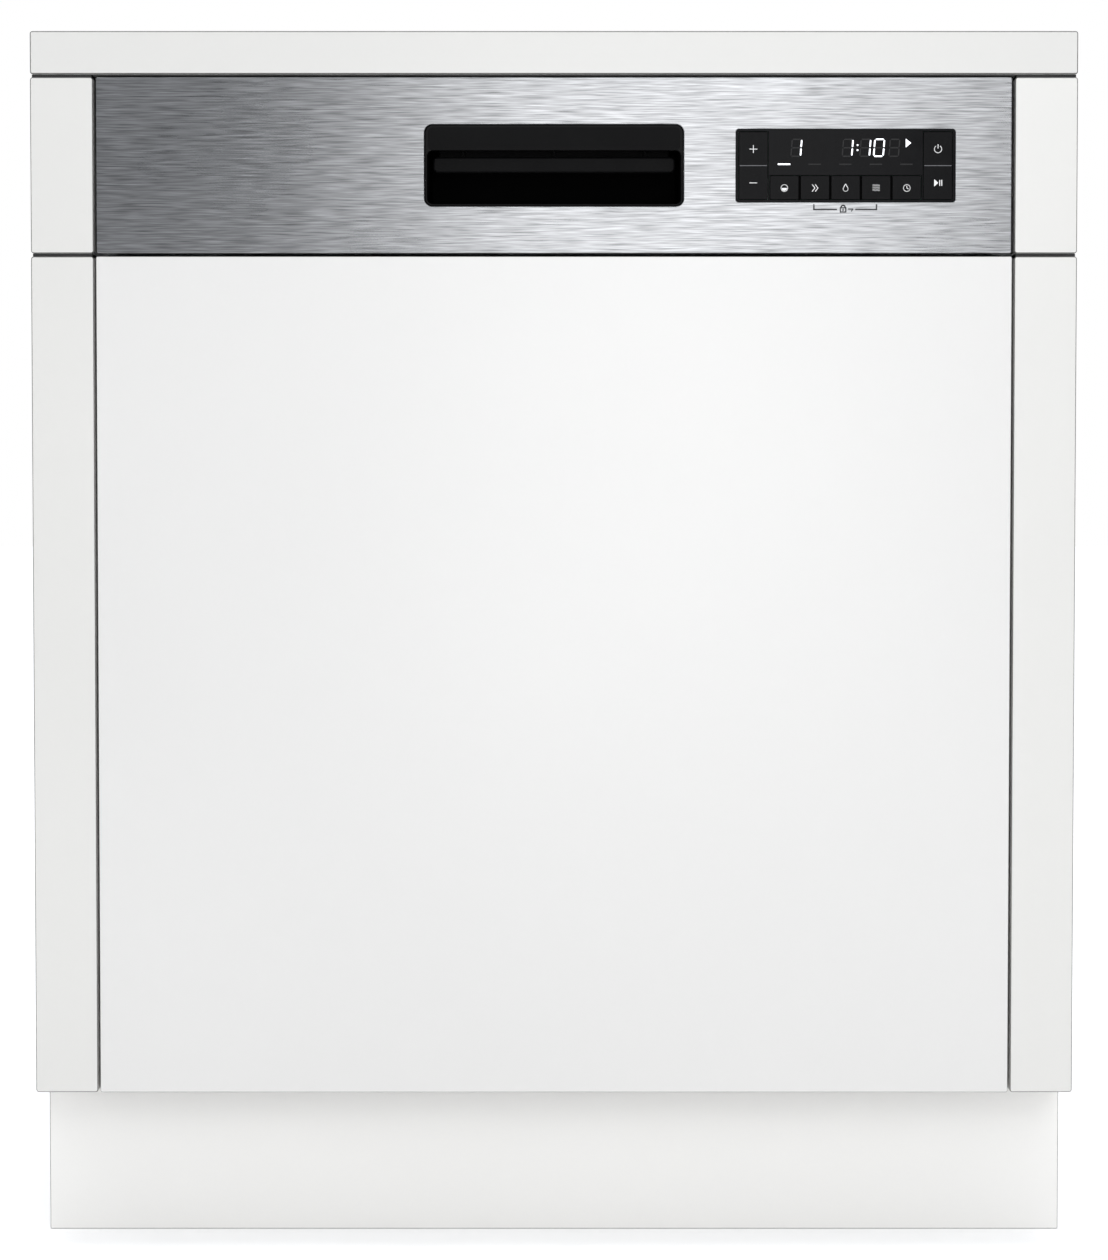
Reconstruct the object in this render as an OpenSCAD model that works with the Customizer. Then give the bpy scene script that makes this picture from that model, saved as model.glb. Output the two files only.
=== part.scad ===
// Built-in dishwasher, half-integrated, in its kitchen housing.
// Millimetres. +Z is up and the front faces -Y. The origin is the middle of the
// footprint, on the floor. Inside the modules, y = 0 is the front plane of the
// kitchen and y grows towards the wall.

/* [Kitchen housing] */
// Width of the worktop piece
total_w = 684; // [664:1:720]
// Depth of the worktop, front edge to wall
total_d = 600; // [600:1:640]
// Height of the worktop's underside
under_worktop = 772; // [772:1:800]
// Thickness of the worktop
worktop_t = 28; // [20:1:40]
// Clear width between the stiles
niche_w = 602; // [602:1:606]
// Thickness of the painted front boards
board_t = 18; // [16:1:18]
// How far the plinth stands back from the fronts
plinth_back = 55; // [55:1:62]
// Height of the plinth
plinth_h = 97; // [80:1:97]

/* [Door front] */
// Height of the furniture door's lower edge
door_z = 103.5; // [103.5:0.5:106]
// Height of the furniture door's upper edge
door_top = 653.5; // [640:0.5:653.5]
// Width of the furniture door
door_w = 599; // [596:0.5:600]
// Width of the steel fascia
fascia_w = 598; // [596:0.5:598]
// Gap between the fascia and the boards above and below it
front_gap = 2; // [1.5:0.1:3]

/* [Hinge] */
// Distance of the door axis behind the front plane
axis_y = 30; // [29:0.5:31]
// Height of the door axis
axis_z = 145.5; // [145:0.5:147]
// Radius of the hinge pins
pin_r = 5; // [4:0.5:6]
// Radial clearance of the turning fits
run_gap = 0.05; // [0.02:0.01:0.08]

/* [Handle] */
// Width of the grip opening
grip_w = 169.4; // [150:0.2:180]
// Height of the grip opening
grip_h = 53.4; // [50:0.2:56]
// Corner radius of the grip opening
grip_r = 5.3; // [3:0.1:8]
// Height of the middle of the grip opening
grip_z = 712.7; // [711:0.1:714]

/* [Controls] */
// Width of the black control panel
panel_w = 142.7; // [140:0.1:146]
// Height of the black control panel
panel_h = 47.1; // [46:0.1:48]
// Distance from the middle of the machine to the middle of the panel
panel_x = 190.5; // [188:0.1:194]
// Pitch of the five small keys
key_pitch = 20; // [19:0.1:20.2]
// Travel of a key
key_travel = 0.8; // [0.5:0.1:0.9]

/* [Tub] */
// Half width of the tub, outside
tub_hw = 281.5; // [280:0.5:281.5]
// Back of the tub
tub_back = 556; // [540:1:556]
// Underside of the tub floor
tub_z = 176; // [176:1:178]
// Top of the tub
tub_top = 746; // [740:1:746]
// Thickness of the tub's steel
tub_t = 1.5; // [1:0.5:2]

/* [Racks] */
// Half width of the racks
rack_hw = 252; // [240:1:254]
// Front of the racks
rack_front = 80; // [78:1:90]
// Back of the racks
rack_back = 528; // [524:1:528]
// Height of the lower rack's floor
lower_z = 226; // [224:1:232]
// Height of the upper rack's floor
upper_z = 486; // [486:1:490]
// Thickness of a rack's thin wires
wire = 3; // [2.5:0.5:4]
// Radius of the lower rack's wheels
wheel_r = 18; // [16:0.5:18]

/* [Hidden] */
$fn = 48;

stile_w = (total_w - niche_w) / 2;
panel_t = 18;                        // end panels
end_in = total_w / 2 - panel_t;      // inner face of an end panel
fascia_z = door_top + front_gap;
fascia_top = under_worktop - front_gap;
sheet = 1.2;                         // steel sheet of the door
door_back = 58;                      // inner face of the door
door_hw = 288;                       // half width of the door's own casing
flange_y = 64.5;                     // front of the tub's flange
casing_low = axis_z - 10;            // lower end of the door casing's sides
grip_low = grip_z - grip_h / 2;
grip_bar_z = [709.3, 719.5];         // lower and upper edge of the lever's bar
lip_low = 722.5;                     // lower edge of the grip's front lip
lever_axis = [30, 744];              // y and z of the lever's axis
cap_gap = 0.4;                       // air round a key cap
panel_low = 689;
panel_left = panel_x - panel_w / 2;
panel_right = panel_x + panel_w / 2;
rim = 1.2;                           // border of the black panel
keys_left = panel_x - 2.5 * key_pitch;
keys_top = 706.4;
cap_face = 0.3;                      // key faces lie this far behind the front plane
switch_y = 8;                        // front of the board's switches
base_front = 88;
base_back = 575;
base_low = 30;
base_hw = 281;
wall = 3;
bracket_x = 295;                     // inner face of a hinge bracket
spring_x = 289.3;
spring_r = 5.4;
hub = [0, 310];                      // axis of the spray arms
well = [50, 310];                    // axis of the sump
well_r = 112;
cup_at = [105, 310];                 // axis of the filter cup
cup_r = 38;
salt_at = [218, 200];
pump_axis = [310, 105];              // y and z of the pump's axis
arm_z = 204;                         // underside of the lower spray arm
upper_arm_z = 459;                   // underside of the upper spray arm
rail_z = 496;                        // underside of the upper rack's channels
foot_at = [[-230, 130], [230, 130], [-230, 530], [230, 530]];
inlet_at = [-185, 75];               // x and z of the water inlet
drain_at = [75, 118];                // x and z of the drain spigot
gland_at = [-100, 75];               // x and z of the mains cable's gland
connector_holes = [[60, 130], [560, 130], [60, 730], [560, 730]];

// ---------- shared shapes ----------

module both_sides() {
    children();
    mirror([1, 0, 0]) children();
}

// Box between two corners
module box(lo, hi) {
    translate(lo) cube(hi - lo);
}

// Rectangle with round corners, its centre at the origin
module round_rect(w, h, r) {
    square([w - 2 * r, h], center = true);
    square([w, h - 2 * r], center = true);
    for (sx = [-1, 1], sy = [-1, 1])
        translate([sx * (w / 2 - r), sy * (h / 2 - r)]) circle(r);
}

// Plate in the XZ plane with round corners, from y0 to y1
module front_plate(x, z, w, h, r, y0, y1) {
    translate([x, y1, z]) rotate([90, 0, 0]) linear_extrude(y1 - y0) round_rect(w, h, r);
}

// Cylinders along X, Y and Z, from one end to the other
module rod_x(x0, x1, y, z, r) {
    translate([x0, y, z]) rotate([0, 90, 0]) cylinder(h = x1 - x0, r = r);
}
module rod_y(y0, y1, x, z, r) {
    translate([x, y0, z]) rotate([-90, 0, 0]) cylinder(h = y1 - y0, r = r);
}
module rod_z(z0, z1, at, r) {
    translate([at[0], at[1], z0]) cylinder(h = z1 - z0, r = r);
}

// Turns local depths, counted from the front plane, into the part's frame
module place() {
    translate([0, -total_d / 2, 0]) children();
}

// ---------- kitchen housing ----------

module worktop() color([0.93, 0.93, 0.92])
    front_plate(0, under_worktop + worktop_t / 2, total_w, worktop_t, 2, 0, total_d);

module stile(z0, z1)
    front_plate(niche_w / 2 + stile_w / 2, (z0 + z1) / 2, stile_w, z1 - z0, 2, 0, board_t);

module upper_stiles() color([0.93, 0.93, 0.92]) both_sides() stile(fascia_z, fascia_top);

module lower_stiles() color([0.93, 0.93, 0.92]) both_sides() stile(door_z, door_top);

module end_panel() difference() {
    box([end_in, board_t, 0], [total_w / 2, total_d - 2, under_worktop]);
    box([end_in - 1, 0, -1], [total_w / 2 + 1, plinth_back + 16, door_z]);
    for (h = connector_holes) rod_x(end_in - 1, total_w / 2 + 1, h[0], h[1], 2.5);
}

module end_panels() color([0.92, 0.92, 0.91]) both_sides() end_panel();

module plinth() color([0.91, 0.91, 0.9]) {
    box([-total_w / 2, plinth_back, 0], [total_w / 2, plinth_back + 16, plinth_h]);
    both_sides() box([150, plinth_back + 16, 40], [180, plinth_back + 22, 70]);
}

// ---------- door ----------

module furniture_door() color([0.94, 0.94, 0.93])
    front_plate(0, (door_z + door_top) / 2, door_w, door_top - door_z, 1, 0, board_t);

// Steel sheet with returned edges and two openings
module fascia() color([0.72, 0.73, 0.75]) difference() {
    front_plate(0, (fascia_z + fascia_top) / 2, fascia_w, fascia_top - fascia_z, 1.5, 0, 14);
    box([-fascia_w / 2 + sheet, sheet, fascia_z + sheet], [fascia_w / 2 - sheet, 15, fascia_top - sheet]);
    front_plate(0, grip_z, grip_w, grip_h, grip_r, -1, 3);
    front_plate(panel_x, panel_low + panel_h / 2, panel_w + 0.4, panel_h + 0.4, 1.8, -1, 3);
}

// Plastic carrier behind the fascia, open towards the inner door
module control_housing() color([0.12, 0.12, 0.13]) {
    in_w = fascia_w / 2 - sheet - 0.3;
    low = fascia_z + sheet + 0.3;
    top = fascia_top - sheet - 0.3;
    difference() {
        box([-in_w, sheet + 0.2, low], [in_w, 56.5, top]);
        box([-in_w + 2, 4, low + 2], [in_w - 2, 57, top - 2]);
        front_plate(0, grip_z, grip_w + 0.6, grip_h + 0.6, grip_r + 0.3, -1, 5);
        front_plate(panel_x, panel_low + panel_h / 2, panel_w + 0.6, panel_h + 0.6, 1.8, -1, 5);
        box([-20, 50, top - 3], [20, 57, top + 1]);
    }
    for (x = [-250, -190, -130, 110]) box([x, 3.8, low + 1], [x + 2, 40, low + 30]);
}

// Finger grip: a rim, a front lip and a deep bowl that runs up behind the lip
module handle_recess() color([0.07, 0.07, 0.07]) {
    w = grip_w - 0.4;
    h = grip_h - 0.4;
    bowl_top = 749.5;
    difference() {
        union() {
            front_plate(0, grip_z, w, h, grip_r, 0.2, 5);
            box([-w / 2, 5, grip_low + 0.2], [w / 2, 44, bowl_top]);
        }
        box([-w / 2 + 2, 4.4, grip_low + 2.2], [w / 2 - 2, 42, bowl_top - 2]);
        front_plate(0, (grip_low + lip_low) / 2 + 0.7, w - 3.4, lip_low - grip_low - 1.4, 4, -1, 6);
        both_sides() rod_x(w / 2 - 2.1, w / 2 - 0.6, lever_axis[0], lever_axis[1], 2.5 + run_gap);
    }
}

// Lever that the fingers pull to free the latch
module latch_lever() color([0.09, 0.09, 0.09]) {
    bar_w = 159;
    bar_z = (grip_bar_z[0] + grip_bar_z[1]) / 2;
    front_plate(0, bar_z, bar_w, grip_bar_z[1] - grip_bar_z[0], 4.5, 12, 20);
    box([-76, 19, grip_bar_z[0] + 2], [76, 29, grip_bar_z[1] - 1]);
    box([-76, 26, grip_bar_z[0] + 2], [76, 29, lever_axis[1]]);
    rod_x(-grip_w / 2 + 1, grip_w / 2 - 1, lever_axis[0], lever_axis[1], 2.5);
    for (x = [-60, 0, 60]) box([x - 1, 22, grip_bar_z[1] - 2], [x + 1, 27, 738]);
}

module latch_module() color([0.2, 0.2, 0.22]) difference() {
    box([-24, 20, 750], [24, 56, 766]);
    box([-17, 40, 753.5], [17, 57, 764]);
    rod_x(-25, 25, 30, 758, 2);
}

module display_panel() color([0.05, 0.05, 0.055]) {
    mid_z = panel_low + panel_h / 2;
    difference() {
        front_plate(panel_x, mid_z, panel_w, panel_h, 1.7, 0, 4);
        for (x = rocker_x) front_plate(x, mid_z, 19.7, panel_h - 2 * rim, 0.6, -1, 5);
        for (i = [0:4])
            front_plate(keys_left + (i + 0.5) * key_pitch, (panel_low + rim + keys_top) / 2,
                        key_pitch - 0.6, keys_top - panel_low - rim, 0.6, -1, 5);
        box([keys_left + 1, 1.6, keys_top + 1.5],
            [keys_left + 5 * key_pitch - 1, 5, panel_low + panel_h - rim - 1]);
    }
}

// A key's cap, with a stem that reaches the board's switch
module cap(x, z0, z1, w) {
    front_plate(x, (z0 + z1) / 2, w, z1 - z0, 0.5, cap_face, 3.6);
    rod_y(3.5, switch_y - key_travel - 0.2, x, (z0 + z1) / 2, 2);
}

module small_key(i) color([0.1, 0.1, 0.11])
    cap(keys_left + (i - 0.5) * key_pitch, panel_low + rim + cap_gap, keys_top - cap_gap,
        key_pitch - 0.6 - 2 * cap_gap);

// Tall cap that rocks about its middle, with a press point at each end
module rocker(x) color([0.1, 0.1, 0.11]) {
    z0 = panel_low + rim + cap_gap;
    z1 = panel_low + panel_h - rim - cap_gap;
    mid = (z0 + z1) / 2;
    front_plate(x, mid, 19.7 - 2 * cap_gap, z1 - z0, 0.5, cap_face, 3.6);
    rod_x(x - 8, x + 8, 4.4, mid, 1.2);
    for (z = [mid - 12, mid + 12]) rod_y(3.5, 6.8, x, z, 1.6);
}
rocker_x = [panel_left + rim + 9.85, panel_right - rim - 9.85];

module control_board() color([0.1, 0.3, 0.2]) {
    box([panel_left - 4, 12, 676], [panel_right + 4, 13.6, 748]);
    for (x = [panel_left - 2, panel_right + 2], z = [679, 745]) rod_y(4, 12, x, z, 2.5);
    for (i = [0:4])
        box([keys_left + (i + 0.5) * key_pitch - 3, switch_y, 695],
            [keys_left + (i + 0.5) * key_pitch + 3, 12, 701]);
    box([keys_left + 4, 4.2, 710], [keys_left + 5 * key_pitch - 4, 12, 732]);
    box([panel_left + 10, 13.6, 690], [panel_left + 60, 30, 735]);
}

// Outer sheet of the door, with side returns
module outer_door() color([0.7, 0.71, 0.72]) {
    box([-door_hw, board_t, 112], [door_hw, board_t + sheet, fascia_z - 1.5]);
    both_sides() box([door_hw - sheet, board_t, casing_low], [door_hw, door_back - sheet, fascia_z - 1.5]);
}

module inner_door() color([0.74, 0.75, 0.76]) difference() {
    pan = [240, 195, 735];
    union() {
        box([-door_hw, door_back - sheet, casing_low], [door_hw, door_back, 764]);
        box([-pan[0] - sheet, 44 - sheet, pan[1] - sheet], [pan[0] + sheet, door_back, 655]);
        box([-door_hw + sheet, board_t + sheet, casing_low],
            [door_hw - sheet, door_back, casing_low + sheet]);
    }
    box([-pan[0], 44, pan[1]], [pan[0], door_back + 1, 655 - sheet]);
    box([-88, 30, 385], [88, 60, 561]);
    box([-18, 50, 753], [18, 60, 765]);
}

// Side levers that carry the door and pull the balance springs
module hinge_arms() color([0.6, 0.61, 0.63]) both_sides() difference() {
    union() {
        rod_x(door_hw, door_hw + 2.5, axis_y, axis_z, 10.5);
        box([door_hw, 22, axis_z], [door_hw + 2.5, 40, 330]);
        rod_x(door_hw, door_hw + 2.5, axis_y + 34, axis_z, 5.5);
        box([door_hw, axis_y, axis_z - 5], [door_hw + 2.5, axis_y + 34, axis_z + 5]);
    }
    rod_x(door_hw - 1, door_hw + 4, axis_y, axis_z, pin_r + run_gap);
    for (z = [200, 300]) rod_x(door_hw - 1, door_hw + 4, 31, z, 2.2);
}

// Dispenser body: a detergent chamber and a rinse-aid tank
module dispenser() color([0.85, 0.86, 0.86]) difference() {
    union() {
        box([-88, 22, 385], [88, 44, 561]);
        front_plate(0, 473, 186, 186, 8, 44, 50);
        rod_y(50, 52, 50, 515, 25);
    }
    box([-74, 26, 488], [-12, 51, 548]);
    rod_y(30, 53, 50, 515, 17);
    front_plate(50, 435, 50, 40, 4, 48, 51);
}

// Sliding lid, guided on the dispenser's face
module detergent_lid() color([0.8, 0.81, 0.82]) {
    front_plate(-43, 518, 78, 74, 4, 50, 53.5);
    box([-60, 53, 490], [-26, 55, 495]);
}

module rinse_aid_cap() color([0.15, 0.3, 0.55]) {
    rod_y(52, 56, 50, 515, 23);
    rod_y(34, 52.5, 50, 515, 17 - run_gap);
    box([31, 55.5, 512.5], [69, 57.6, 517.5]);
}

// ---------- hinge, frame and latch ----------

module hinge_brackets() color([0.6, 0.61, 0.63]) both_sides() {
    rod_x(door_hw + 0.3, bracket_x + 3, axis_y, axis_z, pin_r);
    rod_x(bracket_x, bracket_x + 3, axis_y, axis_z, 9);
    box([bracket_x, axis_y, axis_z - 9], [bracket_x + 3, 78, axis_z + 9]);
    box([bracket_x, 76, 118], [bracket_x + 3, 330, 172]);
    box([base_hw, 92, 118], [bracket_x + 1, 320, 121]);
    box([spring_x - 5, 318, 120], [bracket_x + 1, 321, 155]);
}

module balance_springs() color([0.5, 0.5, 0.52]) both_sides() {
    rod_y(axis_y + 39.8, 112, spring_x, axis_z, 1.4);
    difference() {
        rod_y(110, 290, spring_x, axis_z, spring_r);
        rod_y(112, 288, spring_x, axis_z, spring_r - 2);
    }
    rod_y(288, 318, spring_x, axis_z, 1.4);
}

module frame_struts() color([0.66, 0.67, 0.68]) {
    both_sides() {
        box([bracket_x - 1.5, 66, 160], [bracket_x, 90, 768]);
        box([284, 66, 180], [bracket_x, 67.5, 768]);
    }
    difference() {
        box([-bracket_x, 66, 757.5], [bracket_x, 92, 768]);
        box([-bracket_x - 1, 68, 759], [bracket_x + 1, 93, 766.5]);
    }
}

module door_strike() color([0.62, 0.63, 0.65]) {
    box([-14, 46, 757.5], [14, 66, 760]);
    box([-14, 63, 757.5], [14, 66, 767]);
    both_sides() box([11, 44, 757.5], [14, 47, 760]);
    box([-14, 44, 757.5], [14, 47, 760]);
}

// ---------- tub ----------

module tub() color([0.76, 0.77, 0.78]) difference() {
    union() {
        box([-tub_hw, 66, tub_z], [tub_hw, tub_back, tub_top]);
        box([-290, flange_y, tub_z], [290, 66, 757]);
        box([-tub_hw, flange_y, 152], [tub_hw, 66, tub_z + 1]);
    }
    box([-tub_hw + tub_t, flange_y - 1, tub_z + tub_t],
        [tub_hw - tub_t, tub_back - tub_t, tub_top - tub_t]);
    rod_z(tub_z - 1, tub_z + 3, well, 104);
    rod_z(tub_z - 1, tub_z + 3, salt_at, 31);
}

// Rubber seal on the flange, along both sides and the top
module tub_gasket() color([0.25, 0.25, 0.26]) difference() {
    box([-door_hw, 58.4, 182], [door_hw, flange_y, 753]);
    box([-door_hw + 7.5, 58, 181], [door_hw - 7.5, 65, 745.5]);
    box([-door_hw - 1, 61, 181], [-door_hw + 3, 62.5, 754]);
    box([door_hw - 3, 61, 181], [door_hw + 1, 62.5, 754]);
}

module insulation_jacket() color([0.3, 0.3, 0.31]) difference() {
    box([-tub_hw - 4, 92, 190], [tub_hw + 4, tub_back + 4, tub_top + 4]);
    box([-tub_hw, 91, 189], [tub_hw, tub_back, tub_top]);
}

module base_tray() color([0.16, 0.16, 0.17]) difference() {
    union() {
        difference() {
            box([-base_hw, base_front, base_low], [base_hw, base_back, tub_z]);
            box([-base_hw + wall, base_front + wall, base_low + wall],
                [base_hw - wall, base_back - wall, tub_z + 1]);
        }
        for (f = foot_at) rod_z(base_low, 64, f, 12);
        for (x = [-150, 0, 150]) box([x - 1.5, base_front, base_low], [x + 1.5, 150, 60]);
        rod_y(base_back - 2, 592, gland_at[0], gland_at[1], 11);
    }
    for (f = foot_at) rod_z(base_low - 1, 60, f, 6.2);
    rod_y(base_back - wall - 1, base_back + 1, inlet_at[0], inlet_at[1], 15);
    rod_y(base_back - wall - 1, base_back + 1, drain_at[0], drain_at[1], 12);
    rod_y(base_back - wall - 1, 593, gland_at[0], gland_at[1], 5);
}

module levelling_feet() color([0.2, 0.2, 0.2]) for (f = foot_at) {
    rod_z(0, 8, f, 24);
    rod_z(7, 14, f, 14);
    rod_z(13, 56, f, 6);
}

// ---------- water system ----------

module sump() color([0.22, 0.22, 0.24]) {
    difference() {
        union() {
            rod_z(172.5, tub_z, well, 118);
            rod_z(66, 173, well, well_r);
            rod_x(-92, -50, pump_axis[0], pump_axis[1], 17);
        }
        rod_z(70, tub_z + 1, well, 103);
        rod_x(-93, -40, pump_axis[0], pump_axis[1], 14);
        rod_y(405, 430, drain_at[0], drain_at[1] - 16, 12);
    }
    difference() {
        rod_z(69, arm_z - 1, hub, 16);
        rod_z(80, arm_z + 1, hub, 12);
    }
    difference() {
        rod_z(arm_z - 2, arm_z + 12.5, hub, 14);
        rod_z(arm_z - 3, arm_z + 14, hub, 11);
    }
    box([-9, 322, 181.5], [9, 330, 199]);
}

module filter_plate() color([0.7, 0.71, 0.72]) difference() {
    rod_z(tub_z + tub_t, tub_z + tub_t + 2, well, 112);
    rod_z(tub_z, tub_z + 5, hub, 16.5);
    rod_z(tub_z, tub_z + 5, cup_at, cup_r + 0.6);
}

module filter_cup() color([0.3, 0.31, 0.33]) {
    difference() {
        rod_z(78, 184, cup_at, cup_r);
        rod_z(80, 185, cup_at, cup_r - 2);
        for (a = [0:45:315]) translate([cup_at[0], cup_at[1], 130]) rotate([0, 0, a])
            translate([cup_r - 4, -7, -40]) cube([8, 14, 80]);
    }
    box([cup_at[0] - cup_r + 1, cup_at[1] - 2.5, 176], [cup_at[0] + cup_r - 1, cup_at[1] + 2.5, 184]);
    box([cup_at[0] - 16, cup_at[1] - 3, 183], [cup_at[0] + 16, cup_at[1] + 3, 199]);
}

module pump_housing() color([0.85, 0.85, 0.83]) difference() {
    union() {
        rod_x(-136, -92, pump_axis[0], pump_axis[1], 48);
        rod_z(104, 160, [-114, 352], 12);
    }
    rod_x(-132, -96, pump_axis[0], pump_axis[1], 44);
    rod_x(-97, -91, pump_axis[0], pump_axis[1], 14);
    rod_x(-137, -130, pump_axis[0], pump_axis[1], 5 + run_gap);
    rod_z(103, 161, [-114, 352], 9);
}

module pump_motor() color([0.3, 0.31, 0.33]) difference() {
    union() {
        rod_x(-226, -136, pump_axis[0], pump_axis[1], 40);
        for (a = [0:45:315]) translate([-181, pump_axis[0], pump_axis[1]]) rotate([a, 0, 0])
            translate([-40, 38, -1.5]) cube([80, 7, 3]);
    }
    rod_x(-222, -140, pump_axis[0], pump_axis[1], 34);
    rod_x(-141, -135, pump_axis[0], pump_axis[1], 5 + run_gap);
}

module pump_rotor() color([0.55, 0.56, 0.6]) {
    rod_x(-218, -100, pump_axis[0], pump_axis[1], 5);
    rod_x(-214, -152, pump_axis[0], pump_axis[1], 24);
    rod_x(-128, -124, pump_axis[0], pump_axis[1], 38);
    for (a = [0:60:300]) translate([0, pump_axis[0], pump_axis[1]]) rotate([a, 0, 0])
        translate([-125, 12, -1]) cube([14, 24, 2]);
}

module drain_pump() color([0.24, 0.25, 0.27]) difference() {
    union() {
        rod_y(419, 448, drain_at[0], drain_at[1] - 16, 30);
        rod_y(447, 500, drain_at[0], drain_at[1] - 16, 22);
        rod_y(440, 577, drain_at[0], drain_at[1], 8.5);
        rod_y(577, 596, drain_at[0], drain_at[1], 10);
    }
    rod_y(424, 445, drain_at[0], drain_at[1] - 16, 27);
    rod_y(405, 425, drain_at[0], drain_at[1] - 16, 12);
    rod_y(444, 597, drain_at[0], drain_at[1], 6.5);
    rod_y(455, 496, drain_at[0], drain_at[1] - 30, 5.5);
}

module softener_tank() color([0.8, 0.82, 0.84]) {
    difference() {
        union() {
            box([172, 146, 40], [268, 300, 160]);
            rod_z(159, tub_z + 8, salt_at, 30);
        }
        box([176, 150, 44], [264, 296, 156]);
        rod_z(150, tub_z + 9, salt_at, 26);
    }
}

module salt_cap() color([0.88, 0.88, 0.86]) {
    rod_z(tub_z + 8, tub_z + 14, salt_at, 34);
    rod_z(tub_z - 6, tub_z + 9, salt_at, 26 - run_gap);
    box([salt_at[0] - 28, salt_at[1] - 4, tub_z + 13], [salt_at[0] + 28, salt_at[1] + 4, tub_z + 22]);
}

// Flat water chamber on the left side, fed by the inlet valve
module inlet_chamber() color([0.88, 0.89, 0.9]) {
    difference() {
        box([-297, 150, 250], [-286, 430, 600]);
        box([-298, 162, 262], [-294, 418, 588]);
    }
    for (z = [300, 350, 400, 450, 500, 550]) box([-296, 162, z], [-293, 390, z + 4]);
}

module inlet_valve() color([0.9, 0.9, 0.88]) {
    box([inlet_at[0] - 22, 520, inlet_at[1] - 24], [inlet_at[0] + 22, 560, inlet_at[1] + 30]);
    rod_y(559, 576, inlet_at[0], inlet_at[1], 12);
    difference() {
        rod_y(576, 594, inlet_at[0], inlet_at[1], 13.2);
        rod_y(574, 595, inlet_at[0], inlet_at[1], 8);
    }
}

// Pipe from the sump, up the back wall and along the ceiling to the top nozzle
module feed_pipe() color([0.75, 0.77, 0.78]) {
    rod_y(330, 545, hub[0], 190.5, 8.5);
    rod_z(190.5, 728, [hub[0], 545], 8.5);
    for (z = [190.5, 728]) rod_z(z - 9.4, z + 9.4, [hub[0], 545], 9.4);
    rod_y(hub[1], 545, hub[0], 728, 8.5);
    rod_z(712, 728, hub, 20);
    rod_y(532, 546, hub[0], 478, 11);
}

// Arm that turns on its hub
module spray_arm(z, length, tall, ring) {
    translate([hub[0], hub[1], z]) linear_extrude(tall) {
        round_rect(2 * length, 44, 21.5);
        circle(36);
    }
    rod_z(z, z + tall + ring, hub, 26);
}

module lower_spray_arm() color([0.2, 0.21, 0.23]) difference() {
    spray_arm(arm_z, 220, 12.5, 5);
    rod_z(arm_z - 1, arm_z + 13.5, hub, 14 + run_gap);
}

module upper_spray_arm() color([0.2, 0.21, 0.23]) difference() {
    spray_arm(upper_arm_z, 205, 9.5, 3);
    rod_z(upper_arm_z - 1, upper_arm_z + 13, hub, 6 + run_gap);
    rod_z(upper_arm_z - 1, upper_arm_z + 6, hub, 10.6);
}

module upper_feed_tube() color([0.75, 0.77, 0.78]) {
    rod_y(hub[1], 530, hub[0], 478, 5.5);
    rod_z(upper_arm_z + 1, upper_arm_z + 5.5, hub, 10);
    rod_z(upper_arm_z + 13, 482, hub, 14);
    rod_z(upper_arm_z + 5, upper_arm_z + 14, hub, 6);
    rod_y(518, 530, hub[0], 478, 9);
}

// ---------- racks ----------

// A wire along X, Y or Z with a square section
module wire_x(x0, x1, y, z, t) { box([x0, y - t / 2, z - t / 2], [x1, y + t / 2, z + t / 2]); }
module wire_y(y0, y1, x, z, t) { box([x - t / 2, y0, z - t / 2], [x + t / 2, y1, z + t / 2]); }
module wire_z(z0, z1, x, y, t) { box([x - t / 2, y - t / 2, z0], [x + t / 2, y + t / 2, z1]); }

// Wire basket of five flat grids, a floor and four walls, with a hairline seam between them
seam = 0.1;
rim_wire = 4;
module basket(hw, y0, y1, z0, wall_h, nx, ny) {
    inset = rim_wire + seam + wire / 2;
    ys = [for (i = [0:ny]) y0 + inset + i * (y1 - y0 - 2 * inset) / ny];
    for (i = [0:nx])
        wire_y(ys[0] - wire / 2, ys[ny] + wire / 2, -hw + inset + 2 * i * (hw - inset) / nx, z0, wire);
    for (y = ys) wire_x(-hw + rim_wire + seam, hw - rim_wire - seam, y, z0 + 2, wire);
    for (y = [y0 + 2, y1 - 2], i = [0:nx])
        wire_z(z0 - wire / 2, z0 + wall_h - 1, -hw + 2 + 2 * i * (hw - 2) / nx, y, wire);
    for (y = ys, x = [-hw + 2, hw - 2]) wire_z(z0 - wire / 2, z0 + wall_h - 1, x, y, wire);
    for (z = [z0 + 0.5, z0 + wall_h * 0.5, z0 + wall_h - 2]) {
        for (y = [y0 + 2, y1 - 2]) wire_x(-hw, hw, y, z, rim_wire);
        for (x = [-hw + 2, hw - 2]) wire_y(y0 + rim_wire + seam, y1 - rim_wire - seam, x, z, rim_wire);
    }
}

wheel_z = tub_z + tub_t + 1.5 + wheel_r;
wheel_y = [165, 460];
wheel_x = [260, 272];

module lower_rack() color([0.55, 0.57, 0.6]) {
    basket(rack_hw, rack_front, rack_back, lower_z, 104, 7, 6);
    both_sides() for (y = wheel_y) {
        box([rack_hw + seam, y - 9, wheel_z - 9], [rack_hw + 4, y + 9, lower_z + 30]);
        rod_x(rack_hw + 1, wheel_x[1], y, wheel_z, 4);
    }
}

module wheel_pair(y) color([0.4, 0.42, 0.45]) both_sides() difference() {
    rod_x(wheel_x[0], wheel_x[1], y, wheel_z, wheel_r);
    rod_x(wheel_x[0] - 1, wheel_x[1] + 1, y, wheel_z, 4 + run_gap);
    rod_x(wheel_x[1] - 3, wheel_x[1] + 1, y, wheel_z, wheel_r - 4);
}

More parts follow.
